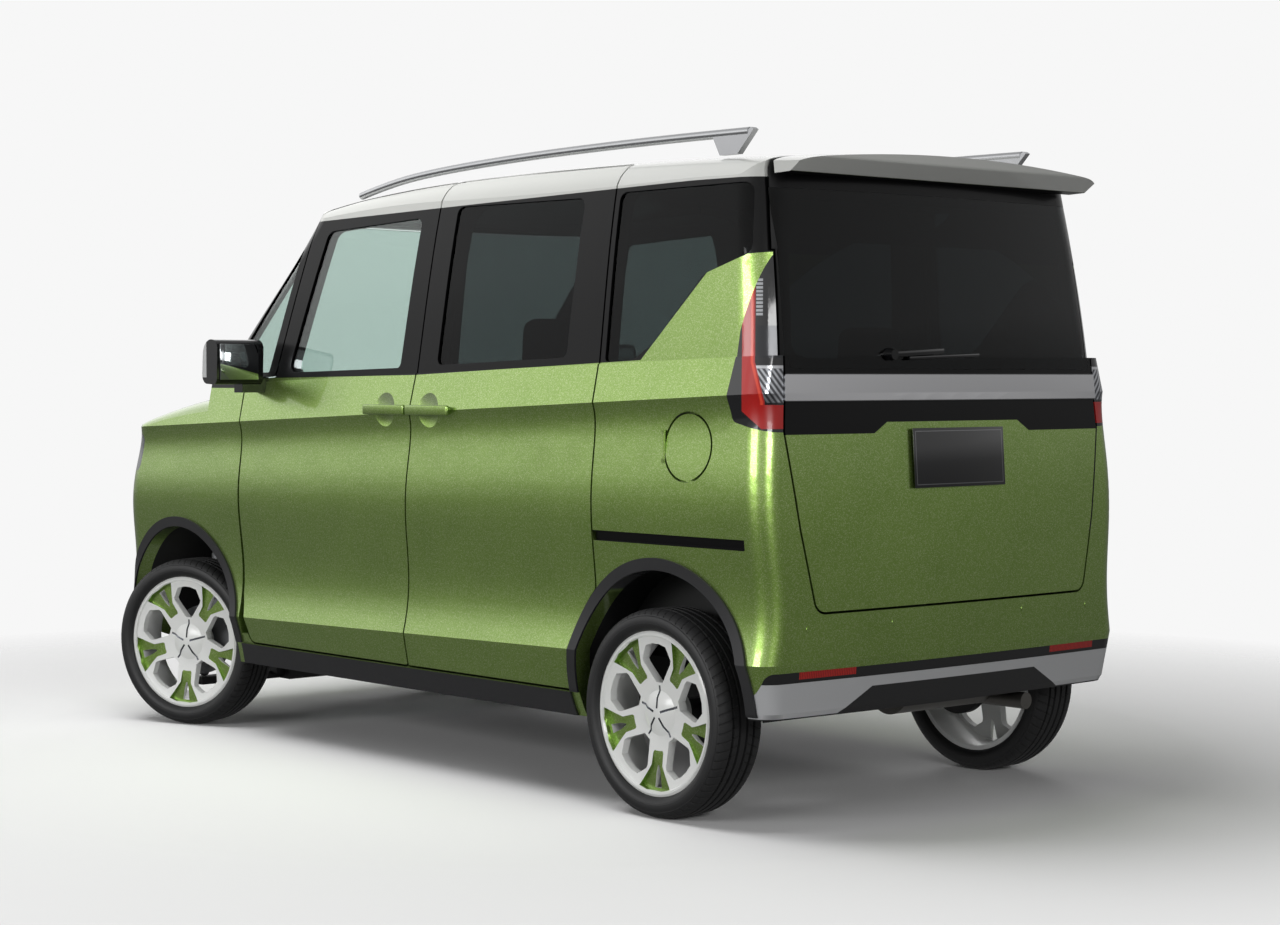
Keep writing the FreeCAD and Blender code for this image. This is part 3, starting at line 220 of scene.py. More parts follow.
def makeStudio():
    half = studio["floorSize"] / 2
    shape = bmesh.new()
    bmesh.ops.create_grid(shape, x_segments=2, y_segments=2, size=half)
    mesh = bpy.data.meshes.new("studioFloor")
    shape.to_mesh(mesh)
    shape.free()
    floor = bpy.data.objects.new("studioFloor", mesh)
    scene.collection.objects.link(floor)
    floor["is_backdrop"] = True

    # painted studio floor, matt: it keeps the shadow near the car and gives way to the backdrop further out
    material, tree, shader, coords, output = newMaterial("paintedFloor")
    path = addNode(tree, "ShaderNodeLightPath")
    bright = (studio["floorBright"],) * 3 + (1.0,)
    tone = blendColours(tree, path.outputs["Is Camera Ray"], linear(studio["floorColour"]), bright)
    setShader(shader, Base_Color=tone, Roughness=0.8, Specular_IOR_Level=0.1)
    far = addNode(tree, "ShaderNodeVectorMath", {0: coords}, operation="LENGTH").outputs["Value"]
    fade = spread(tree, far, studio["fadeStart"], studio["fadeEnd"])
    clear = addNode(tree, "ShaderNodeBsdfTransparent").outputs[0]
    shown = addNode(tree, "ShaderNodeMixShader", {0: fade, 1: shader.outputs[0], 2: clear}).outputs[0]
    dim = addNode(tree, "ShaderNodeEmission", {"Strength": studio["floorInPaint"]}).outputs[0]
    glossy = path.outputs["Is Glossy Ray"]
    mirrored = addNode(tree, "ShaderNodeMixShader", {0: glossy, 1: shown, 2: dim}).outputs[0]
    tree.links.new(mirrored, output.inputs["Surface"])
    mesh.materials.append(material)

    for name, (place, aim, sizes, watts) in lamps.items():
        data = bpy.data.lights.new(name, "AREA")
        data.shape = "RECTANGLE"
        data.size, data.size_y = sizes
        data.energy = watts
        lamp = bpy.data.objects.new(name, data)
        scene.collection.objects.link(lamp)
        look = Vector(aim) - Vector(place)
        lamp.visible_glossy = lamp.visible_transmission = name in studio["mirrored"]
        lamp.matrix_world = Matrix.Translation(place) @ look.to_track_quat("-Z", "Y").to_matrix().to_4x4()

    world = bpy.data.worlds.new("studioWorld")
    scene.world = world
    world.use_nodes = True
    tree = world.node_tree
    tree.nodes.clear()
    output = addNode(tree, "ShaderNodeOutputWorld")
    sideways, forward, upward = split(tree, addNode(tree, "ShaderNodeTexCoord").outputs["Generated"])
    leftward, frontward = studio["leftFront"]
    toFront = plus(tree, times(tree, sideways, leftward), times(tree, forward, frontward))
    rise = spread(tree, upward, *studio["stripFoot"], studio["horizon"], studio["strip"])
    fall = spread(tree, upward, *studio["stripTop"], 0.0, studio["strip"] - studio["zenith"])
    left = spread(tree, toFront, *studio["weakens"], studio["behind"], 1.0)
    glow = times(tree, minus(tree, rise, fall), left)
    path = addNode(tree, "ShaderNodeLightPath")
    # rays that only passed through glass see the backdrop; light that reaches the cabin doesn't
    straight = minus(tree, 1.0, calc(tree, "MINIMUM", path.outputs["Diffuse Depth"], 1.0))
    through = times(tree, path.outputs["Is Transmission Ray"], straight)
    seen = calc(tree, "MAXIMUM", path.outputs["Is Camera Ray"], through)
    glossy = path.outputs["Is Glossy Ray"]
    unseen = addNode(tree, "ShaderNodeMix", {0: glossy, 2: studio["fill"], 3: glow}).outputs[0]
    level = addNode(tree, "ShaderNodeMix", {0: seen, 2: unseen, 3: studio["backdrop"]}).outputs[0]
    background = addNode(tree, "ShaderNodeBackground", {"Color": (1, 1, 1, 1), "Strength": level})
    tree.links.new(background.outputs[0], output.inputs["Surface"])


makeStudio()
print("studio set")

# where the finish changes, in metres: green below the belt, black frames, white above the drip line, and the
# rail slot of the sliding door, drawn black as painted shade
bodyLines = {
    "beltFront": (1.2056, 0.012),     # height at the axle datum and slope of the belt along the front door
    "beltRear": (1.2026, 0.0385),     # and along the sliding door
    "whiteLine": (1.711, 0.015),
    "quarterRise": (0.148, 0.955),    # up the curve below the quarter glass
    "quarterTop": (1.378, 0.095),
    "railSlot": (0.7475, 0.7765),
    "slotEnds": (0.975, 1.5925),
    "notchEnds": (0.268, 0.318),
    "notchHeights": (1.080, 1.050),
}


def heightAbove(tree, coords, line):
    y, z = split(tree, coords)[1:]
    slope = times(tree, y, line[1])
    return minus(tree, minus(tree, z, slope), line[0])


# body paint, mica base coat under clear coat, sprayed: soft metal green that follows the light over the
# creases, with flakes that glitter: a bump tilts them, and lighter flake colour paints their glints in. Real
# flakes are 0.05 mm, drawn here at 2 mm so that they show
greenPaint = {
    "colour": "#89a84e",
    "deep": "#83a249",       # in clouds of cloudMm
    "cloudMm": 160.0,
    "flake": "#cfdfa6",
    "flakeMm": 2.0,
    "flakeFrom": 0.6,        # the share of flakes that stay dull
    "flakeGlint": 0.5,
    "flakeHeight": 0.3,
    "peelMm": 9.0,           # orange peel of the clear coat
    "peelHeight": 0.12,
    "depthMm": 0.12,
    "metallic": 0.86,
    "roughness": 0.3,
    "coat": 0.8,
    "coatRoughness": 0.04,
    "shine": 0.5,
}
# roof paint, solid white with a little pearl: clean and even
whitePaint = {"colour": "#cdceca"}
# window frames, satin black film: no glitter, and little shine next to the glass. The same black also fills
# the rail slot and the handle bowls as painted shade, and the spoiler's underside
blackFilmAndShade = {"colour": "#0a0a0b", "coat": 0.08, "shine": 0.15}
# what the panels show on faces that point in towards the car's middle, and on faces that point down: grained
# trim, soft against the paint
innerTrim = {"colour": "#3a3a3c", "roughness": 0.65, "sideways": 0.6, "downwards": 0.8}


def greenColour(tree, coords):
    cells = addNode(tree, "ShaderNodeTexVoronoi", {"Vector": coords, "Scale": 1000 / greenPaint["flakeMm"]})
    amount = addNode(tree, "ShaderNodeSeparateColor", {0: cells.outputs["Color"]}).outputs[0]
    cloud = spread(tree, noise(tree, coords, greenPaint["cloudMm"]), 0.3, 0.7)
    base = blendColours(tree, cloud, linear(greenPaint["colour"]), linear(greenPaint["deep"]))
    # painted glints: some flakes are drawn lighter, towards the flake colour
    glint = spread(tree, amount, greenPaint["flakeFrom"], 1.0, 0.0, greenPaint["flakeGlint"])
    return blendColours(tree, glint, base, linear(greenPaint["flake"])), cells


# finger bowls behind the door handles: middle (y, z), radius and depth, in metres, and how dark the painted
# shade in them is at the middle
handleBowls = {"middles": ((-0.015, 1.101), (0.211, 1.101)), "radius": 0.052, "depth": 0.009, "shade": 0.3}


def bowlHeight(tree, coords):
    y, z = split(tree, coords)[1:]
    height = 0.0
    for across, up in handleBowls["middles"]:
        dy = minus(tree, y, across)
        dz = minus(tree, z, up)
        square = plus(tree, times(tree, dy, dy), times(tree, dz, dz))
        share = spread(tree, square, 0.0, handleBowls["radius"] ** 2, -1.0, 0.0)
        height = plus(tree, height, share)
    return height


def doorAreas(tree, coords):
    belt = calc(tree, "MINIMUM", heightAbove(tree, coords, bodyLines["beltFront"]),
                heightAbove(tree, coords, bodyLines["beltRear"]))
    return step(tree, belt), step(tree, heightAbove(tree, coords, bodyLines["whiteLine"]))


def bodySideAreas(tree, coords):
    y, z = split(tree, coords)[1:]
    rise = heightAbove(tree, coords, bodyLines["quarterRise"])
    shelf = heightAbove(tree, coords, bodyLines["quarterTop"])
    edge = calc(tree, "MINIMUM", calc(tree, "MAXIMUM", rise, shelf),
                heightAbove(tree, coords, bodyLines["beltRear"]))
    # painted shade: the sliding door's rail slot is drawn black all through, for the shade inside the channel
    slot = times(tree, band(tree, z, *bodyLines["railSlot"]), band(tree, y, *bodyLines["slotEnds"]))
    blackAndShaded = calc(tree, "MAXIMUM", step(tree, edge), slot)
    return blackAndShaded, step(tree, heightAbove(tree, coords, bodyLines["whiteLine"]))


def tailgateAreas(tree, coords):
    # the black band under the bar has a notch for the plate's lamps
    x, y, z = split(tree, coords)
    middle = spread(tree, calc(tree, "ABSOLUTE", x), *bodyLines["notchEnds"], *bodyLines["notchHeights"])
    return step(tree, minus(tree, z, middle), 0.0, 0.0006), 0.0


def spoilerAreas(tree, coords):
    # faces that point nearly straight down are drawn black, and the rest is the roof's white
    upwards = split(tree, addNode(tree, "ShaderNodeTexCoord").outputs["Normal"])[2]
    below = step(tree, times(tree, upwards, -1.0), 0.9, 0.04)
    return below, minus(tree, 1.0, below)


def frameAreas(tree, coords):
    return 1.0, step(tree, heightAbove(tree, coords, bodyLines["whiteLine"]))


def roofAreas(tree, coords):
    return 0.0, 1.0


def sprayedPaint(name, areas=None, lined=True):
    # areas gives the masks of the black parts, painted shade among them, and of the white parts; what is left
    # is green
    material, tree, shader, coords, output = newMaterial(name)
    shade, cells = greenColour(tree, coords)
    peel = times(tree, noise(tree, coords, greenPaint["peelMm"], 1.0), greenPaint["peelHeight"])
    flakes = times(tree, cells.outputs["Distance"], greenPaint["flakeHeight"])
    height = plus(tree, peel, flakes)
    metal, rough = greenPaint["metallic"], greenPaint["roughness"]
    blackAndShaded, white = areas(tree, coords) if areas else (0.0, 0.0)
    if areas:
        shade = blendColours(tree, blackAndShaded, shade, linear(blackFilmAndShade["colour"]))
        shade = blendColours(tree, white, shade, linear(whitePaint["colour"]))
        either = 1.0 if 1.0 in (blackAndShaded, white) else calc(tree, "MAXIMUM", blackAndShaded, white)
        metal = between(tree, either, metal, 0.0)
        height = times(tree, between(tree, either, 1.0, 0.0), height)
    if lined:
        # panels are trimmed inside: faces that point in towards the car's middle take the grained trim
        # instead of the paint, and so do faces that point down
        x = split(tree, coords)[0]
        nx, ny, nz = split(tree, addNode(tree, "ShaderNodeTexCoord").outputs["Normal"])
        outwards = times(tree, calc(tree, "SIGN", x), nx)
        inAndDownFaces = calc(tree, "MAXIMUM",
                      step(tree, times(tree, outwards, -1.0), innerTrim["sideways"], 0.02),
                      step(tree, times(tree, nz, -1.0), innerTrim["downwards"], 0.02))
        shade = blendColours(tree, inAndDownFaces, shade, linear(innerTrim["colour"]))
        metal = between(tree, inAndDownFaces, metal, 0.0)
        rough = between(tree, inAndDownFaces, rough, innerTrim["roughness"])
    surface = bump(tree, height, greenPaint["depthMm"])
    coat = between(tree, blackAndShaded, greenPaint["coat"], blackFilmAndShade["coat"])
    shine = between(tree, blackAndShaded, greenPaint["shine"], blackFilmAndShade["shine"])
    if areas is doorAreas:
        bowls = bowlHeight(tree, coords)
        # painted shade: the bowls are drawn darker towards their middles, towards the frames' black
        deep = times(tree, times(tree, bowls, -1.0), handleBowls["shade"])
        shade = blendColours(tree, deep, shade, linear(blackFilmAndShade["colour"]))
        surface = addNode(tree, "ShaderNodeBump", {"Height": bowls, "Distance": handleBowls["depth"],
                                                   "Normal": surface}).outputs["Normal"]
    setShader(shader, Base_Color=shade, Metallic=metal, Roughness=rough, Normal=surface,
              Specular_IOR_Level=shine, Coat_Weight=coat, Coat_Roughness=greenPaint["coatRoughness"])
    return material


def dress(material, *names):
    for name in names:
        for slot in nodes[name].material_slots:
            slot.material = material


bodyPaint = sprayedPaint("micaGreenPaint", lined=False)
doorPaint = sprayedPaint("doorPaint", doorAreas)
bodySidePaint = sprayedPaint("bodySidePaint", bodySideAreas)
hatchPaint = sprayedPaint("tailgatePaint", tailgateAreas)
roofPaint = sprayedPaint("pearlWhitePaint", roofAreas)
spoilerPaint = sprayedPaint("spoilerPaint", spoilerAreas, lined=False)
framePaint = sprayedPaint("satinFramePaint", frameAreas)
dress(bodyPaint, "bonnet", "fenders", "front_bumper", "rear_bumper", "fuel_lid")
dress(hatchPaint, "tailgate")
dress(doorPaint, "front_door_left", "front_door_right", "sliding_door_left", "sliding_door_right")
dress(bodySidePaint, "body_side_left", "body_side_right")
dress(roofPaint, "roof_panel")
dress(spoilerPaint, "rear_spoiler")
dress(framePaint, "a_pillars")
print("paint set")


def mouldedPlastic(name, colour, roughness, grainMm, depthMm, coat=0.0, metallic=0.0, cloudy=0.06):
    # an even colour and gloss, a little cloudy, over a fine grain
    material, tree, shader, coords, output = newMaterial(name)
    grain = addNode(tree, "ShaderNodeTexVoronoi", {"Vector": coords, "Scale": 1000 / grainMm}, feature="F1")
    cloud = noise(tree, coords, 60.0, 3.0)
    base = Vector(linear(colour)[:3])
    shade = blendColours(tree, cloud, tuple(base * (1 - cloudy)) + (1,), tuple(base * (1 + cloudy)) + (1,))
    wear = spread(tree, cloud, 0.3, 0.7, roughness - cloudy / 2, roughness + cloudy / 2)
    setShader(shader, Base_Color=shade, Roughness=wear, Metallic=metallic, Coat_Weight=coat,
              Coat_Roughness=0.06, Normal=bump(tree, grain.outputs["Distance"], depthMm))
    return material


# trims, moulded polypropylene with a leather grain: dull, dark grey rather than black
grainedBlack = mouldedPlastic("grainedBlackPolypropylene", "#1f1f21", 0.5, 1.6, 0.05)
# polished mould, piano black: deep, with sharp highlights
glossBlack = mouldedPlastic("glossBlackPlastic", "#0c0c0e", 0.12, 9.0, 0.004, coat=0.6)
# drawn and anodised aluminium: a pale mirror, softened
railMetal = mouldedPlastic("anodisedRail", "#bfc0c2", 0.26, 1.2, 0.004, metallic=1.0, cloudy=0.02)
# pressed steel dipped in primer: black with a low sheen, so that the underside stays quiet
chassisSteel = mouldedPlastic("dipPaintedSteel", "#101011", 0.5, 3.0, 0.03)
# sand cast aluminium: grey, rough and cloudy
castAlloy = mouldedPlastic("castAluminium", "#7c7d7f", 0.55, 1.5, 0.06, metallic=0.8)
# rolled stainless steel that has been hot: a brownish grey metal
exhaustSteel = mouldedPlastic("rolledStainlessSteel", "#6a6864", 0.42, 2.5, 0.02, metallic=0.9)
# foam backed skin over a moulded dash: matt, with a fine grain
dashPlastic = mouldedPlastic("softTouchDash", "#1d1d1f", 0.6, 1.2, 0.05)
# moulded polycarbonate over dark housings: grey, with a wet shine
clearLens = mouldedPlastic("clearPolycarbonate", "#5b5f63", 0.06, 6.0, 0.01, coat=0.8)
dress(grainedBlack, "wheel_arch_trims", "sill_trims", "cowl_panel", "side_frames", "front_grille")
dress(railMetal, "roof_rails")
dress(chassisSteel, "floor_pan", "front_subframe", "rear_axle", "fuel_tank")
dress(castAlloy, "engine_block", "knuckle_left", "knuckle_right")
dress(exhaustSteel, "exhaust")
dress(dashPlastic, "dashboard", "steering_wheel")
dress(clearLens, "headlamps")


def layered(name, base, layers, grainMm=3.0, depthMm=0.01, coat=0.4):
    # one moulding in several finishes: each layer is (mask, colour, roughness, metallic)
    material, tree, shader, coords, output = newMaterial(name)
    colour, rough, metal = linear(base[0]), base[1], base[2]
    for mask, shade, roughness, metallic in layers(tree, coords):
        colour = blendColours(tree, mask, colour, linear(shade))
        rough = between(tree, mask, rough, roughness)
        metal = between(tree, mask, metal, metallic)
    setShader(shader, Base_Color=colour, Roughness=rough, Metallic=metal, Coat_Weight=coat,
              Coat_Roughness=0.04, Normal=bump(tree, noise(tree, coords, grainMm), depthMm))
    return material


# tail lamp: a red acrylic band in front, smoked clear lens behind it with the bulb housings showing through.
# Distances run round the corner from the side to the back; heights are above the floor
tailLamp = {
    "corner": (1.5, 0.74),
    "bandStart": 0.097,
    "bandHeights": (1.24, 1.137),
    "bandEnds": (0.146, 0.182),
    "footTop": 1.128,
    "footWidth": 0.12,
    "footRun": (0.097, 0.170),
    "footHeights": (1.112, 1.066),
    "guide": (0.006, 0.016),          # the light guide, from the band's rear edge
    "ribStrip": ((0.149, 0.174), (1.36, 1.46)),
    "ribsPerMetre": 100.0,
    "darkPanel": ((0.151, 0.25), (1.25, 1.335)),
    "facetBlock": (1.135, 1.223),
    "facetsPerMetre": 50.0,
    "brightRim": (1.223, 1.231),
}


def tailLampLayers(tree, coords):
    x, y, z = split(tree, coords)
    across = minus(tree, tailLamp["corner"][1], calc(tree, "ABSOLUTE", x))
    along = plus(tree, minus(tree, y, tailLamp["corner"][0]), across)
    edge = spread(tree, z, *tailLamp["bandHeights"], *tailLamp["bandEnds"])
    foot = step(tree, times(tree, z, -1.0), -tailLamp["footTop"])
    edge = plus(tree, edge, times(tree, foot, tailLamp["footWidth"]))
    toEdge = minus(tree, edge, along)
    inBand = times(tree, step(tree, along, tailLamp["bandStart"]), step(tree, toEdge))
    low = minus(tree, z, spread(tree, along, *tailLamp["footRun"], *tailLamp["footHeights"]))
    red = times(tree, inBand, step(tree, low))
    guide = times(tree, red, band(tree, toEdge, *tailLamp["guide"], 0.002))
    behind = step(tree, minus(tree, along, edge))
    ribs = calc(tree, "PINGPONG", times(tree, z, tailLamp["ribsPerMetre"]), 0.5)
    strip, panel = (times(tree, band(tree, along, *run), band(tree, z, *heights))
                    for run, heights in (tailLamp["ribStrip"], tailLamp["darkPanel"]))
    strip = times(tree, strip, step(tree, ribs, 0.16, 0.05))
    block = times(tree, behind, band(tree, z, *tailLamp["facetBlock"], 0.002))
    slant = times(tree, plus(tree, along, z), tailLamp["facetsPerMetre"])
    facets = times(tree, block, step(tree, calc(tree, "PINGPONG", slant, 0.5), 0.25, 0.12))
    rim = times(tree, behind, band(tree, z, *tailLamp["brightRim"], 0.001))
    return (
        (red, "#b81009", 0.3, 0.0), (guide, "#ef4a30", 0.3, 0.0), (panel, "#2c2d30", 0.2, 0.6),
        (strip, "#9fa1a4", 0.15, 0.9), (block, "#47484c", 0.1, 0.8), (facets, "#b9bbc0", 0.08, 0.9),
        (rim, "#c4c5c8", 0.15, 0.9),
    )


# moulded acrylic: a hard clear gloss over the coloured parts
tailLampLens = layered("tailLampAcrylic", ("#101013", 0.08, 0.0), tailLampLayers, 6.0, 0.002, 0.35)
dress(tailLampLens, "tail_lamps")


# skid plate: the arch in its middle is bare black plastic, and the faces that point down are drawn the same
# black as painted shade
skidArch = {"ends": (0.334, 0.452), "heights": (0.374, 0.309)}


def skidLayers(tree, coords):
    x, y, z = split(tree, coords)
    upwards = split(tree, addNode(tree, "ShaderNodeTexCoord").outputs["Normal"])[2]
    # painted shade: faces that point down are drawn black
    shadedUnderside = step(tree, times(tree, upwards, -1.0), 0.5, 0.05)
    top = spread(tree, calc(tree, "ABSOLUTE", x), *skidArch["ends"], *skidArch["heights"])
    arch = step(tree, minus(tree, top, z))
    return (calc(tree, "MAXIMUM", shadedUnderside, arch), "#151516", 0.5, 0.0),


# silver painted plastic, metallic base coat with no clear coat: soft highlights, even tone
silverSkid = layered("silverPaintedPlastic", ("#c6c7c9", 0.36, 0.35), skidLayers, 2.0, 0.003, 0.15)
dress(silverSkid, "rear_skid_plate")

reflectors = {"ends": (0.400, 0.604), "heights": (0.411, 0.437), "cellsPerMetre": 160.0}


def insertLayers(tree, coords):
    x, y, z = split(tree, coords)
    red = times(tree, band(tree, calc(tree, "ABSOLUTE", x), *reflectors["ends"]),
                band(tree, z, *reflectors["heights"]))
    cells = calc(tree, "PINGPONG", times(tree, x, reflectors["cellsPerMetre"]), 0.5)
    bright = times(tree, red, step(tree, cells, 0.3, 0.1))
    return (red, "#8a1210", 0.1, 0.0), (bright, "#c02a20", 0.1, 0.0)


# bumper insert, grained black plastic with red prism reflectors let in
bumperInsert = layered("blackInsertPlastic", ("#0f0f10", 0.4, 0.0), insertLayers, 1.6, 0.02, 0.2)
dress(bumperInsert, "rear_bumper_insert")

# the bar across the tailgate, bright between two black edges
garnishBar = {"heights": (1.139, 1.208)}


def barLayers(tree, coords):
    bright = band(tree, split(tree, coords)[2], *garnishBar["heights"], 0.001)
    return (minus(tree, 1.0, bright), "#141416", 0.2, 0.0),


# satin chrome on plastic: a soft mirror
satinChrome = layered("satinChromeBar", ("#c9c9cb", 0.2, 1.0), barLayers, 1.2, 0.001, 0.0)
dress(satinChrome, "tailgate_garnish")

# the cap covers the front of the mirror's head, above its foot
mirrorCap = {"start": -0.756, "foot": 1.2}


def mirrorLayers(tree, coords):
    y, z = split(tree, coords)[1:]
    front = step(tree, times(tree, y, -1.0), -mirrorCap["start"])
    return (times(tree, front, step(tree, z, mirrorCap["foot"])), "#cfd0d0", 0.3, 0.2),


# mirror head, polished black plastic with a painted silver cap in front
mirrorShell = layered("mirrorShellPlastic", ("#0e0e10", 0.2, 0.0), mirrorLayers, 8.0, 0.003, 0.6)
dress(mirrorShell, "door_mirror_left", "door_mirror_right")


def tintedGlass(name, colour, bending=1.5):
    # bending below 1.5 takes reflection from the dark panes, which would look grey in a pale studio
    material, tree, shader, coords, output = newMaterial(name)
    setShader(shader, Base_Color=linear(colour), Transmission_Weight=1.0, IOR=bending, Roughness=0.0)
    return material


# laminated and toughened float glass: green in front, dark privacy tint behind the centre pillar
clearGlass = tintedGlass("greenTintedGlass", "#cfe0da")
privacyGlass = tintedGlass("privacyGlass", "#3d4546", 1.2)
rearGlass = tintedGlass("rearPrivacyGlass", "#363d3f", 1.28)
dress(clearGlass, "windscreen", "front_door_glass_left", "front_door_glass_right", "front_quarter_glass")
dress(privacyGlass, "side_glass")
dress(rearGlass, "tailgate_glass")
print("plastics and glass set")


# ways to make a piece: shapes are in metres, in the car's frame or in a wheel's own
def vertsIn(geom):
    return [item for item in geom if isinstance(item, bmesh.types.BMVert)]


def newPiece(name, shape, materials, body, sharpAngle=32):
    bmesh.ops.remove_doubles(shape, verts=shape.verts, dist=0.00005)
    bmesh.ops.recalc_face_normals(shape, faces=shape.faces)
    for face in shape.faces:
        face.smooth = True
    for edge in shape.edges:
        edge.smooth = edge.calc_face_angle(0.0) < math.radians(sharpAngle)
    mesh = bpy.data.meshes.new(name)
    shape.to_mesh(mesh)
    shape.free()
    for material in materials:
        mesh.materials.append(material)
    piece = bpy.data.objects.new(name, mesh)
    scene.collection.objects.link(piece)
    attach(piece, body)
    return piece


def roundedBox(shape, low, high, radius, segments=3, turn=None):
    middle = (Vector(low) + Vector(high)) / 2
    sizes = Vector(high) - Vector(low)
    place = Matrix.Translation(middle) @ (turn or Matrix.Identity(4)) @ Matrix.Diagonal((*sizes, 1.0))
    made = bmesh.ops.create_cube(shape, size=1.0, matrix=place)
    edges = list({edge for vert in made["verts"] for edge in vert.link_edges})
    bmesh.ops.bevel(shape, geom=edges, offset=radius, offset_type="OFFSET", segments=segments, profile=0.5,
                    affect="EDGES", clamp_overlap=True, material=-1)


def boss(shape, radii, depth, place, steps=32):
    bmesh.ops.create_cone(shape, cap_ends=True, segments=steps, radius1=radii[0], radius2=radii[1],
                          depth=depth, matrix=place)


def spunProfile(shape, points, steps):
    # a closed outline of (distance along the axle, radius) in millimetres, turned about X
    verts = [shape.verts.new((x / 1000, 0.0, r / 1000)) for x, r in points]
    edges = [shape.edges.new((a, b)) for a, b in zip(verts, verts[1:] + verts[:1])]
    bmesh.ops.spin(shape, geom=verts + edges, cent=(0, 0, 0), axis=(1, 0, 0), dvec=(0, 0, 0),
                   angle=2 * math.pi, steps=steps, use_merge=True, use_duplicate=False)
    bmesh.ops.remove_doubles(shape, verts=shape.verts, dist=0.00002)


def pushedOutline(shape, points, near, far, turn, index=0):
    # an outline of (y, z) in millimetres, pushed along X and turned about it
    verts = [shape.verts.new((near / 1000, y / 1000, z / 1000)) for y, z in points]
    made = bmesh.ops.extrude_face_region(shape, geom=[shape.faces.new(verts)])
    moved = vertsIn(made["geom"])
    bmesh.ops.translate(shape, vec=((far - near) / 1000, 0, 0), verts=moved)
    verts += moved
    bmesh.ops.rotate(shape, cent=(0, 0, 0), matrix=Matrix.Rotation(turn, 3, "X"), verts=verts)
    for face in {face for vert in verts for face in vert.link_faces}:
        face.material_index = index


def barAlong(shape, points, radius):
    # a round bar along a smooth line
    curve = bpy.data.curves.new("barLine", "CURVE")
    curve.dimensions = "3D"
    curve.bevel_depth = radius
    curve.bevel_resolution = 5
    curve.use_fill_caps = True
    line = curve.splines.new("NURBS")
    line.points.add(len(points) - 1)
    line.order_u = 3
    line.use_endpoint_u = True
    line.resolution_u = 12
    for point, place in zip(line.points, points):
        point.co = (*place, 1.0)
    holder = bpy.data.objects.new("barLine", curve)
    scene.collection.objects.link(holder)
    graph = bpy.context.evaluated_depsgraph_get()
    shape.from_mesh(bpy.data.meshes.new_from_object(holder.evaluated_get(graph)))
    bpy.data.objects.remove(holder)


def meshOf(shape, name, materials):
    # a helper that is used up before the end, such as a cutter
    bmesh.ops.recalc_face_normals(shape, faces=shape.faces)
    mesh = bpy.data.meshes.new(name)
    shape.to_mesh(mesh)
    shape.free()
    for material in materials:
        mesh.materials.append(material)
    piece = bpy.data.objects.new(name, mesh)
    scene.collection.objects.link(piece)
    return piece


joints = {joint["name"]: joint for joint in record["behaviour"]["joints"]}
steerRest = math.radians(20)


def wheelPlace(end, side):
    place = Matrix.Translation(joints[f"{end}_wheel_spin_{side}"]["pos_m"])
    if end == "front":
        place = place @ Matrix.Rotation(steerRest, 4, Vector(joints[f"steer_{side}"]["axis"]))
    if side == "right":
        place = place @ Matrix.Rotation(math.pi, 4, "Z")
    return place


wheels = [(end, side) for end in ("front", "rear") for side in ("left", "right")]

# tyres: low profile summer tyres with four grooves round the tread and fine cuts across its shoulders
tyre = {
    "outline": ((66.5, 226.3), (72, 229), (76.5, 234), (80.8, 241), (82.4, 249), (82.2, 257), (80, 265),
                (75.8, 273), (69.5, 279.4), (60, 283), (48.5, 285.6)),
    "grooves": (38, 13),     # mm from the middle of the tread
    "grooveHalf": 4.5,
    "grooveDepth": 7,
    "crown": 286,
    "steps": 96,
    "cuts": 68,              # round the tyre
    "cutDepth": 3.0,         # mm
    "cutSlant": 14.0,        # cuts per metre across
    "treadFrom": 0.272,      # metres from the axle
    "ribHalf": 0.019,        # the middle rib has no cuts
    "wallFrom": 0.07,        # metres from the middle, across
    "raisedLines": ((0.247, 0.2475), (0.2665, 0.2675)),
    "scuffBand": (0.236, 0.243),
    "scuffLines": 60.0,
}


def tyreOutline():
    half = list(tyre["outline"])
    g, top = tyre["grooveHalf"], tyre["crown"]
    for middle in tyre["grooves"]:
        floor = top - tyre["grooveDepth"]
        half += [(middle + g, top), (middle + g - 1.5, floor), (middle - g + 1.5, floor), (middle - g, top)]
    return half + [(-x, r) for x, r in reversed(half)]


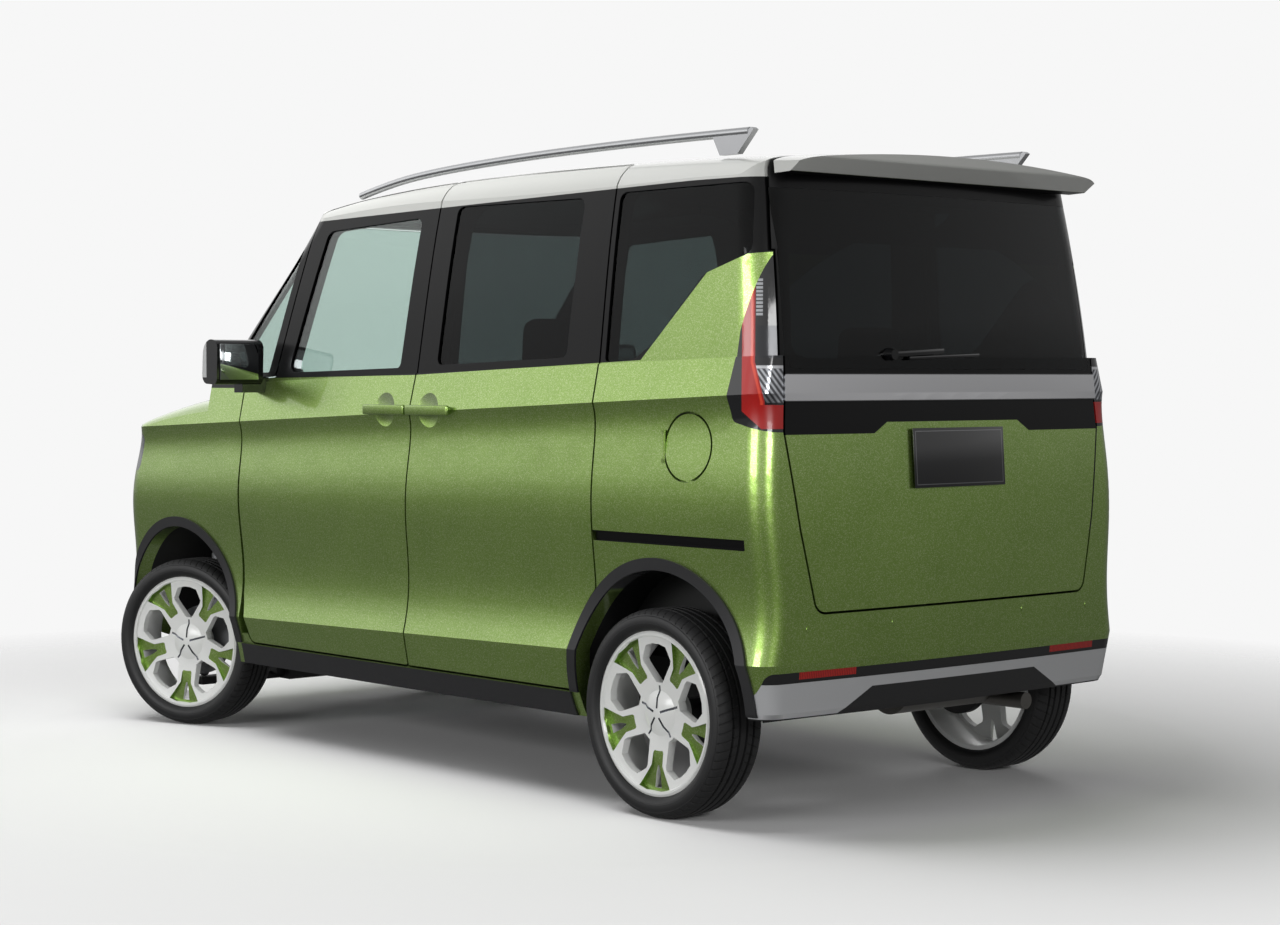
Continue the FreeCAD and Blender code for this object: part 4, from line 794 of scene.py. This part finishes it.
def tyreMaterial(name, place):
    # filled rubber, moulded: near black, dull, a little brown, with a satin band on the sidewall
    material, tree, shader, coords, output = newMaterial(name)
    turn = place.to_euler()
    local = addNode(tree, "ShaderNodeMapping", {"Vector": coords, "Location": place.to_translation(),
                                                "Rotation": turn}, vector_type="TEXTURE").outputs[0]
    x, y, z = split(tree, local)
    flat = addNode(tree, "ShaderNodeCombineXYZ", {1: y, 2: z}).outputs[0]
    radius = addNode(tree, "ShaderNodeVectorMath", {0: flat}, operation="LENGTH").outputs["Value"]
    across = calc(tree, "ABSOLUTE", x)
    angle = calc(tree, "ARCTAN2", z, y)
    phase = times(tree, angle, tyre["cuts"] / (2 * math.pi))
    slant = plus(tree, phase, times(tree, across, tyre["cutSlant"]))
    cut = minus(tree, 1.0, step(tree, calc(tree, "PINGPONG", slant, 0.5), 0.09, 0.03))
    onTread = step(tree, radius, tyre["treadFrom"], 0.0015)
    notMiddle = step(tree, across, tyre["ribHalf"], 0.001)
    cut = times(tree, cut, times(tree, onTread, notMiddle))
    height = times(tree, cut, -1.0)
    for line in tyre["raisedLines"]:
        raised = times(tree, band(tree, radius, *line), step(tree, across, tyre["wallFrom"]))
        height = plus(tree, height, times(tree, raised, 0.3))
    scuff = calc(tree, "PINGPONG", times(tree, angle, tyre["scuffLines"]), 0.5)
    scuff = times(tree, band(tree, radius, *tyre["scuffBand"]), scuff)
    height = plus(tree, height, times(tree, scuff, 0.12))
    height = plus(tree, height, times(tree, noise(tree, coords, 1.5), 0.03))
    # painted shade: the cuts are drawn darker than the rubber around them
    shade = blendColours(tree, cut, linear("#171718"), linear("#060606"))
    setShader(shader, Base_Color=shade, Roughness=spread(tree, onTread, 0, 1, 0.52, 0.7),
              Normal=bump(tree, height, tyre["cutDepth"]))
    return material


for end, side in wheels:
    place = wheelPlace(end, side)
    shape = bmesh.new()
    spunProfile(shape, tyreOutline(), tyre["steps"])
    bmesh.ops.transform(shape, matrix=place, verts=shape.verts)
    rubber = tyreMaterial(f"{end}{side.title()}TyreRubber", place)
    piece = newPiece(f"{end}{side.title()}Tyre", shape, [rubber], f"{end}_wheel_{side[0]}", 38)
    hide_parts(f"{end}_tyre_{side}")
print("tyres made")

# wheels: cast alloy, lacquered white, with five windows, five forks sunk and sprayed green, and a star on
# the hub. The rim's outline is (distance along the axle, radius), the others (across, outwards), in mm
wheel = {
    "outline": ((57.5, 0.0), (53.5, 42), (43.5, 62), (47.5, 96), (55.5, 150), (62.0, 202), (64.0, 210),
                (70.0, 213.5), (70.4, 219), (66.5, 225.8), (-66.5, 225.8), (-66.5, 212), (-40, 204),
                (40, 204), (36, 180), (28, 130), (20, 90), (14, 64), (-17.5, 62), (-17.5, 31),
                (16.5, 31), (16.5, 0.0)),
    "window": ((-13, 84), (13, 84), (54, 138), (57, 148), (40, 184), (14, 191), (-14, 191), (-40, 184),
               (-57, 148), (-54, 138)),
    "fork": ((-13, 98), (13, 98), (20, 107), (22, 142), (36, 164), (62, 201), (30, 209), (-30, 209),
             (-62, 201), (-36, 164), (-22, 142), (-20, 107)),
    "slot": ((-2, 142), (2, 142), (8, 162), (13, 203), (-13, 203), (-8, 162)),
    "groove": ((-3.2, 14), (3.2, 14), (3.2, 76), (-3.2, 76)),
    "forkFloor": 48.5,
    "grooveFloor": 41.0,
    "reach": (-60, 90),      # cutters pass through the whole rim
    "arms": 5,
    "steps": 90,
    "edge": 0.0016,          # metres, the rounding of its edges
    "sharpAngle": 32,
}
# lacquer over cast alloy: an even warm white with a soft shine
wheelWhite = mouldedPlastic("whiteWheelLacquer", "#e6e7e5", 0.3, 6.0, 0.003, coat=0.5, cloudy=0.01)
wheelGreen = sprayedPaint("greenWheelInsert", lined=False)
# turned alloy: grooves that catch the light in the white hub
wheelSilver = mouldedPlastic("polishedHubStar", "#a8aab0", 0.25, 2.0, 0.003, metallic=0.9, cloudy=0.02)
wheelFinishes = (wheelWhite, wheelGreen, wheelSilver)


def cutWith(target, cutter, name):
    modifier = target.modifiers.new(name, "BOOLEAN")
    modifier.operation = "DIFFERENCE"
    modifier.solver = "EXACT"
    modifier.object = cutter
    graph = bpy.context.evaluated_depsgraph_get()
    mesh = bpy.data.meshes.new_from_object(target.evaluated_get(graph))
    target.modifiers.clear()
    target.data = mesh
    bpy.data.objects.remove(cutter)


def castWheel():
    shape = bmesh.new()
    spunProfile(shape, wheel["outline"], wheel["steps"])
    body = meshOf(shape, "wheelBlank", wheelFinishes)
    through, sunk, star = bmesh.new(), bmesh.new(), bmesh.new()
    near, far = wheel["reach"]
    for arm in range(wheel["arms"]):
        turn = arm * 2 * math.pi / wheel["arms"]
        halfTurn = turn + math.pi / wheel["arms"]
        pushedOutline(through, wheel["window"], near, far, turn)
        pushedOutline(through, wheel["slot"], near, far, halfTurn)
        pushedOutline(sunk, wheel["fork"], wheel["forkFloor"], far, halfTurn, 1)
        pushedOutline(star, wheel["groove"], wheel["grooveFloor"], far, turn, 2)
    for shape, name in ((through, "windowCutter"), (sunk, "forkCutter"), (star, "starCutter")):
        cutWith(body, meshOf(shape, name, wheelFinishes), name)
    return body


blank = castWheel()
for end, side in wheels:
    shape = bmesh.new()
    shape.from_mesh(blank.data)
    bmesh.ops.transform(shape, matrix=wheelPlace(end, side), verts=shape.verts)
    piece = newPiece(f"{end}{side.title()}Wheel", shape, wheelFinishes, f"{end}_wheel_{side[0]}")
    rounding = piece.modifiers.new("rounding", "BEVEL")
    rounding.width = wheel["edge"]
    rounding.segments = 2
    rounding.limit_method = "ANGLE"
    rounding.angle_limit = math.radians(wheel["sharpAngle"])
    rounding.material = -1
    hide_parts(f"{end}_rim_{side}")
bpy.data.objects.remove(blank)
print("wheels made")

# seats: foam pads in woven cloth, a middle panel between two bolsters with a channel at each seam
seats = {
    "front": {"x": 0.315, "start": -0.324, "width": 0.54, "base": 0.620, "back": 0.560, "lean": 16},
    "rear": {"x": 0.262, "start": 0.441, "width": 0.50, "base": 0.630, "back": 0.520, "lean": 18},
    "bolster": 0.105,
    "inset": 0.012,          # how far each pad starts inside its solid, because it swells
    "seam": 0.004,           # how far bolsters overlap the middle panel and stand proud of it
    "long": 0.485,           # of the cushion
    "deep": 0.085,
    "round": (0.032, 0.030, 0.036),   # cushion, back and headrest
    "backFrom": 0.455,
    "backThick": (0.040, 0.038),      # forwards and backwards of its middle line
    "backSink": 0.05,        # the back starts this far below the cushion's top
    "backOver": 0.02,
    "headFrom": 0.425,
    "headUp": 0.06,          # the lean is followed this far past the back's top
    "headTilt": -0.06,
    "headHalf": 0.122,
    "headHeights": (0.028, 0.200),
    "headDepths": (0.006, 0.084),
    "voxel": 0.013,
    "pressure": 4.0,
    "steps": 20,
    "cap": 0.012,            # no point swells further than this
    "floor": 0.2843,
    "threadMm": 2.5,         # real threads of 0.4 mm are too fine to show
}

# seat frames: a pressed pan on two runners, and two posts that carry the headrest
seatFrame = {
    "inset": 0.07,           # inside the cushion's edges
    "foot": 0.03,
    "rear": 0.385,
    "below": 0.09,           # the pan's top under the cushion's
    "runnerInset": 0.075,
    "runnerHalf": 0.014,
    "runnerTall": 0.032,
    "runnerEnds": (0.06, 0.395),
    "runnerRound": 0.004,
    "panRound": 0.012,
    "postRadii": (0.006, 0.006),
    "postLong": 0.09,
    "postAside": 0.055,
    "postBehind": 0.465,
}


def seatShape(row, side):
    shape = bmesh.new()
    own, inset, bolster, seam = seats[row], seats["inset"], seats["bolster"], seats["seam"]
    half = own["width"] / 2 - inset
    middle, y, z = side * own["x"], own["start"], own["base"]
    lean = Matrix.Rotation(-math.radians(own["lean"]), 4, "X")
    run = math.tan(math.radians(own["lean"]))
    cushionRound, backRound, headRound = seats["round"]
    inFront, behind = seats["backThick"]
    strips = ((-half, bolster - half + seam), (bolster - half, half - bolster), (half - bolster - seam, half))
    for index, (left, right) in enumerate(strips):
        lift = 0.0 if index == 1 else seam
        roundedBox(shape, (middle + left, y + inset, z - seats["deep"]),
                   (middle + right, y + seats["long"], z - inset + lift), cushionRound)
        centre = Vector((0, y + seats["backFrom"] + own["back"] * run / 2,
                         z - seats["backSink"] + own["back"] / 2))
        reach = own["back"] / 2 + seats["backOver"]
        roundedBox(shape, (middle + left, centre.y - inFront - lift, centre.z - reach),
                   (middle + right, centre.y + behind, centre.z + reach), backRound, 3, lean)
    top = y + seats["headFrom"] + (own["back"] + seats["headUp"]) * run
    (low, high), (front, rear), wide = seats["headHeights"], seats["headDepths"], seats["headHalf"]
    roundedBox(shape, (middle - wide, top + front, z + own["back"] + low),
               (middle + wide, top + rear, z + own["back"] + high), headRound, 3,
               Matrix.Rotation(seats["headTilt"], 4, "X"))
    return shape


def inflate(piece):
    remesh = piece.modifiers.new("remesh", "REMESH")
    remesh.mode = "VOXEL"
    remesh.voxel_size = seats["voxel"]
    graph = bpy.context.evaluated_depsgraph_get()
    piece.data = bpy.data.meshes.new_from_object(piece.evaluated_get(graph))
    piece.modifiers.clear()
    cloth = piece.modifiers.new("cloth", "CLOTH")
    cloth.settings.use_pressure = True
    cloth.settings.uniform_pressure_force = seats["pressure"]
    cloth.settings.effector_weights.gravity = 0.0
    for number in range(1, seats["steps"] + 1):
        scene.frame_set(number)
    graph = bpy.context.evaluated_depsgraph_get()
    swollen = bpy.data.meshes.new_from_object(piece.evaluated_get(graph))
    for vert, end in zip(piece.data.vertices, swollen.vertices):
        move = end.co - vert.co
        vert.co = vert.co + move * min(1.0, seats["cap"] / max(move.length, 1e-9))
    piece.modifiers.clear()
    scene.frame_set(1)


def seatCloth():
    # woven polyester over foam, piece dyed near black: dull, with the weave's fine grid
    material, tree, shader, coords, output = newMaterial("wovenSeatCloth")
    x, y, z = split(tree, coords)
    threads = 1000 / seats["threadMm"]
    warp = calc(tree, "PINGPONG", times(tree, x, threads), 0.5)
    weft = calc(tree, "PINGPONG", times(tree, plus(tree, y, z), threads), 0.5)
    weave = calc(tree, "MAXIMUM", warp, weft)
    shade = blendColours(tree, weave, linear("#141416"), linear("#2a2a2d"))
    setShader(shader, Base_Color=shade, Roughness=0.92, Sheen_Weight=0.2, Normal=bump(tree, weave, 0.4))
    return material


seatFabric = seatCloth()
for row in ("front", "rear"):
    first = newPiece(f"{row}SeatPads", seatShape(row, 1), [seatFabric], "shell")
    inflate(first)
    both = bmesh.new()
    both.from_mesh(first.data)
    copy = bmesh.ops.duplicate(both, geom=list(both.verts) + list(both.edges) + list(both.faces))["geom"]
    bmesh.ops.scale(both, vec=(-1, 1, 1), verts=vertsIn(copy))
    bmesh.ops.recalc_face_normals(both, faces=both.faces)
    for face in both.faces:
        face.smooth = True
    both.to_mesh(first.data)
    both.free()
    smooth = first.modifiers.new("smooth", "SUBSURF")
    smooth.levels = smooth.render_levels = 1
    frameShape = bmesh.new()
    own = seats[row]
    for side in (-1, 1):
        middle, half = side * own["x"], own["width"] / 2
        inset, start, floor = seatFrame["inset"], own["start"], seats["floor"]
        top = own["base"] - seatFrame["below"]
        roundedBox(frameShape, (middle - half + inset, start + inset, floor + seatFrame["foot"]),
                   (middle + half - inset, start + seatFrame["rear"], top), seatFrame["panRound"], 2)
        for offset in (-1, 1):
            runner, thick = middle + offset * (half - seatFrame["runnerInset"]), seatFrame["runnerHalf"]
            front, rear = seatFrame["runnerEnds"]
            roundedBox(frameShape, (runner - thick, start + front, floor),
                       (runner + thick, start + rear, floor + seatFrame["runnerTall"]),
                       seatFrame["runnerRound"], 2)
            run = math.tan(math.radians(own["lean"]))
            post = Vector((middle + offset * seatFrame["postAside"],
                           start + seatFrame["postBehind"] + (own["back"] + seats["headUp"]) * run,
                           own["base"] + own["back"]))
            boss(frameShape, seatFrame["postRadii"], seatFrame["postLong"], Matrix.Translation(post), 16)
    underframe = newPiece(f"{row}SeatFrames", frameShape, [chassisSteel], "shell")
    for item in (first, underframe):
        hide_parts(f"{row}_seats")
print("seats made")


# fittings on the back: the blank plate, the wiper, four parking sensors
def skinTree(*names):
    shape = bmesh.new()
    for name in names:
        shape.from_mesh(nodes[name].data)
    found = BVHTree.FromBMesh(shape)
    shape.free()
    return found


def onSkin(tree, x, z):
    return tree.ray_cast(Vector((x, 3.0, z)), Vector((0, -1, 0)))[:2]


plate = {
    "width": 0.372,
    "height": 0.163,
    "middle": (-0.004, 0.981),
    "thick": 0.003,
    "gap": 0.007,            # it stands off the tailgate on two brackets
    "line": (0.008, 0.002),  # the pressed line's distance from the edge, and its width
    "round": 0.0012,
    "brackets": (-0.105, 0.105),
    "bracketHalf": 0.012,
    "bracketHeights": (0.03, 0.054),  # above the plate's middle
    "bracketDepths": (-0.004, 0.005),  # from the tailgate's skin
    "bracketRound": 0.002,
}


def plateLayers(tree, coords):
    # a thin pressed line runs round the edge, and the plate is otherwise bare
    x, y, z = split(tree, coords)
    inside = []
    for value, middle, reach in zip((x, z), plate["middle"], (plate["width"], plate["height"])):
        away = calc(tree, "ABSOLUTE", minus(tree, value, middle))
        inside.append(minus(tree, reach / 2 - plate["line"][0], away))
    edge = calc(tree, "MINIMUM", *inside)
    return (band(tree, edge, 0.0, plate["line"][1]), "#77787a", 0.35, 0.5),


# pressed steel, enamelled black: smooth, with a shine that shows how flat it is
plateSteel = layered("blackEnamelledPlate", ("#131315", 0.35, 0.0), plateLayers, 5.0, 0.003, 0.5)
gateSkin = skinTree("tailgate")
shape = bmesh.new()
half, tall = plate["width"] / 2, plate["height"] / 2
centre, normal = onSkin(gateSkin, *plate["middle"])
across, up = plate["middle"]
roundedBox(shape, (across - half, centre.y, up - tall), (across + half, centre.y + plate["thick"], up + tall),
           plate["round"], 2, Matrix.Rotation(math.atan2(normal.z, normal.y), 4, "X"))
bmesh.ops.translate(shape, vec=(0, plate["gap"], 0), verts=shape.verts)
(low, high), (inside, outside) = plate["bracketHeights"], plate["bracketDepths"]
for x in plate["brackets"]:
    roundedBox(shape, (x - plate["bracketHalf"], centre.y + inside, up + low),
               (x + plate["bracketHalf"], centre.y + outside, up + high), plate["bracketRound"], 2)
newPiece("blankPlate", shape, [plateSteel], "tailgate_set")

wiper = {
    "pivot": (0.245, 1.262),
    "capRadii": (0.019, 0.014),
    "capLong": 0.026,
    "elbow": (0.05, 1.272),
    "bladeStart": (0.185, 1.252),
    "tip": (-0.105, 1.262),
    "stand": {"cap": 0.012, "arm": 0.020, "blade": 0.010},
    "arm": (0.007, 0.015),            # thickness and width
    "blade": (0.012, 0.009),
    "round": 0.002,
}
paneSkin = skinTree("tailgate_glass", "tailgate")
shape = bmesh.new()


def overPane(place, part):
    return onSkin(paneSkin, *wiper[place])[0] + Vector((0, wiper["stand"][part], 0))


place = Matrix.Translation(overPane("pivot", "cap")) @ Matrix.Rotation(-math.pi / 2, 4, "X")
boss(shape, wiper["capRadii"], wiper["capLong"], place, 28)
for part, begin, end in (("arm", "pivot", "elbow"), ("blade", "bladeStart", "tip")):
    begin, end = overPane(begin, part), overPane(end, part)
    run = end - begin
    sizes = Vector((run.length, *wiper[part]))
    middle = (begin + end) / 2
    roundedBox(shape, middle - sizes / 2, middle + sizes / 2, wiper["round"], 2,
               run.to_track_quat("X", "Z").to_matrix().to_4x4())
newPiece("rearWiper", shape, [glossBlack], "tailgate_set")

sensors = {
    "places": ((0.575, 0.541), (0.262, 0.541), (-0.272, 0.546), (-0.568, 0.539)),
    "radii": (0.0105, 0.00945),
    "depth": 0.003,
}
bumperSkin = skinTree("rear_bumper")
shape = bmesh.new()
for x, z in sensors["places"]:
    centre, normal = onSkin(bumperSkin, x, z)
    place = Matrix.Translation(centre) @ normal.to_track_quat("Z", "Y").to_matrix().to_4x4()
    boss(shape, sensors["radii"], sensors["depth"], place)
newPiece("parkingSensors", shape, [bodyPaint], "shell")

# door handles: a painted grip over a shallow bowl, on the shoulder of each door
handles = {
    "ends": {"front_door": (-0.105, 0.109), "sliding_door": (0.120, 0.332)},
    "height": 1.101,
    "tall": 0.031,
    "stand": 0.020,          # how far it reaches from the door
    "thick": 0.012,
    "round": 0.005,
    "posts": (0.010, -0.028),         # where its two posts start, from its own ends
    "postLong": 0.018,
    "postInset": 0.003,      # above and below
    "postSink": 0.004,       # into the door
    "postInGrip": 0.002,
    "postRound": 0.003,
}
for door, (start, end) in handles["ends"].items():
    for side, name in ((1, "left"), (-1, "right")):
        skin = skinTree(f"{door}_{name}")
        middle = (start + end) / 2
        surface = skin.ray_cast(Vector((side * 3, middle, handles["height"])), Vector((-side, 0, 0)))[0].x
        shape = bmesh.new()
        outside = surface + side * handles["stand"]
        near, far = sorted((outside - side * handles["thick"], outside))
        low, high = handles["height"] - handles["tall"] / 2, handles["height"] + handles["tall"] / 2
        roundedBox(shape, (near, start, low), (far, end, high), handles["round"], 4)
        inset, back = handles["postInset"], surface - side * handles["postSink"]
        left, right = sorted((back, near if side > 0 else far))
        for y in (start + handles["posts"][0], end + handles["posts"][1]):
            roundedBox(shape, (left, y, low + inset),
                       (right + handles["postInGrip"], y + handles["postLong"], high - inset),
                       handles["postRound"], 2)
        body = f"front_door_{name[0]}" if door == "front_door" else "shell"
        newPiece(f"{name}{door.title().replace('_', '')}Handle", shape, [bodyPaint], body)

# roof rails: one drawn aluminium bar each, bent down to the roof in front and swept into it behind
rail = {
    "points": ((-0.362, 1.791), (-0.20, 1.822), (0.05, 1.845), (0.45, 1.861), (0.85, 1.867), (1.20, 1.868),
               (1.44, 1.866)),
    "x": 0.5585,
    "radius": 0.0125,
    "drop": 0.0085,          # the bar's middle line lies this far below its points
    "footHalf": 0.010,
    "foot": ((1.30, 1.855), (1.440, 1.861), (1.452, 1.868), (1.462, 1.862), (1.40, 1.800), (1.33, 1.800)),
}
for side, name in ((1, "left"), (-1, "right")):
    shape = bmesh.new()
    barAlong(shape, [(side * rail["x"], y, z - rail["drop"]) for y, z in rail["points"]], rail["radius"])
    half = rail["footHalf"]
    verts = [shape.verts.new((side * rail["x"] - half, y, z)) for y, z in rail["foot"]]
    made = bmesh.ops.extrude_face_region(shape, geom=[shape.faces.new(verts)])
    bmesh.ops.translate(shape, vec=(2 * half, 0, 0), verts=vertsIn(made["geom"]))
    piece = newPiece(f"{name}RoofRail", shape, [railMetal], "shell")
    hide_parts("roof_rails")

# front grille: bars across the black panel, a bright one between the headlamps, and a row of lamp units
grille = {
    "bars": (0.665, 0.715, 0.765, 0.815),
    "half": 0.345,
    "bright": 0.905,
    "brightHalf": 0.37,
    "radius": 0.008,
    "sink": 0.003,           # how deep the bars' middle lines lie in the panel
    "shares": (-1, -0.8, -0.4, 0, 0.4, 0.8, 1),
}
headUnits = {
    "middles": ((0.475, 0.932), (0.545, 0.932), (0.615, 0.935)),
    "radii": (0.021, 0.0168),
    "depth": 0.010,
    "sink": 0.0005,          # how deep their middles lie in the lens
}
# plated plastic: a soft grey mirror
satinSilver = mouldedPlastic("satinSilverPlating", "#b9babc", 0.22, 2.0, 0.002, metallic=1.0, cloudy=0.02)
# moulded clear lens over a reflector: pale, with hard small highlights
crystal = mouldedPlastic("mouldedLampCrystal", "#d7dadf", 0.05, 4.0, 0.05, coat=0.9, metallic=0.6, cloudy=0.0)
panelSkin = skinTree("front_grille", "front_bumper", "headlamps")


def onNose(x, z):
    return panelSkin.ray_cast(Vector((x, -3.0, z)), Vector((0, 1, 0)))[0]


barKinds = {
    "grilleBars": (grille["bars"], grille["half"], glossBlack),
    "grilleBrightBar": ((grille["bright"],), grille["brightHalf"], satinSilver),
}
for name, (heights, half, finish) in barKinds.items():
    shape = bmesh.new()
    for z in heights:
        line = [onNose(x * half, z) + Vector((0, grille["sink"], 0)) for x in grille["shares"]]
        barAlong(shape, line, grille["radius"])
    newPiece(name, shape, [finish], "shell")
shape = bmesh.new()
upright = Matrix.Rotation(math.pi / 2, 4, "X")
for side in (-1, 1):
    for x, z in headUnits["middles"]:
        face = onNose(side * x, z)
        place = Matrix.Translation(face + Vector((0, headUnits["sink"], 0))) @ upright
        boss(shape, headUnits["radii"], headUnits["depth"], place, 40)
newPiece("headlampUnits", shape, [crystal], "shell")

# mirror glass: a flat silvered pane let into the rear face of each head, a clear mirror
mirrorPane = {
    "across": (0.745, 0.890),
    "heights": (1.192, 1.308),
    "depths": (-0.004, 0.001),        # from the head's rear face
    "round": 0.0015,
}
mirrorGlass = mouldedPlastic("silveredGlass", "#b9bdbf", 0.02, 9.0, 0.0, metallic=1.0, cloudy=0.0)
for side, name in ((1, "left"), (-1, "right")):
    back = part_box(f"door_mirror_{name}")[1][1]
    shape = bmesh.new()
    near, far = sorted(side * x for x in mirrorPane["across"])
    (low, high), (inside, outside) = mirrorPane["heights"], mirrorPane["depths"]
    roundedBox(shape, (near, back + inside, low), (far, back + outside, high), mirrorPane["round"], 2)
    newPiece(f"{name}MirrorGlass", shape, [mirrorGlass], f"front_door_{name[0]}")
print("fittings made")

sizes = {"cad": [list(v) for v in cadBox], "visual": [list(v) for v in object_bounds()]}
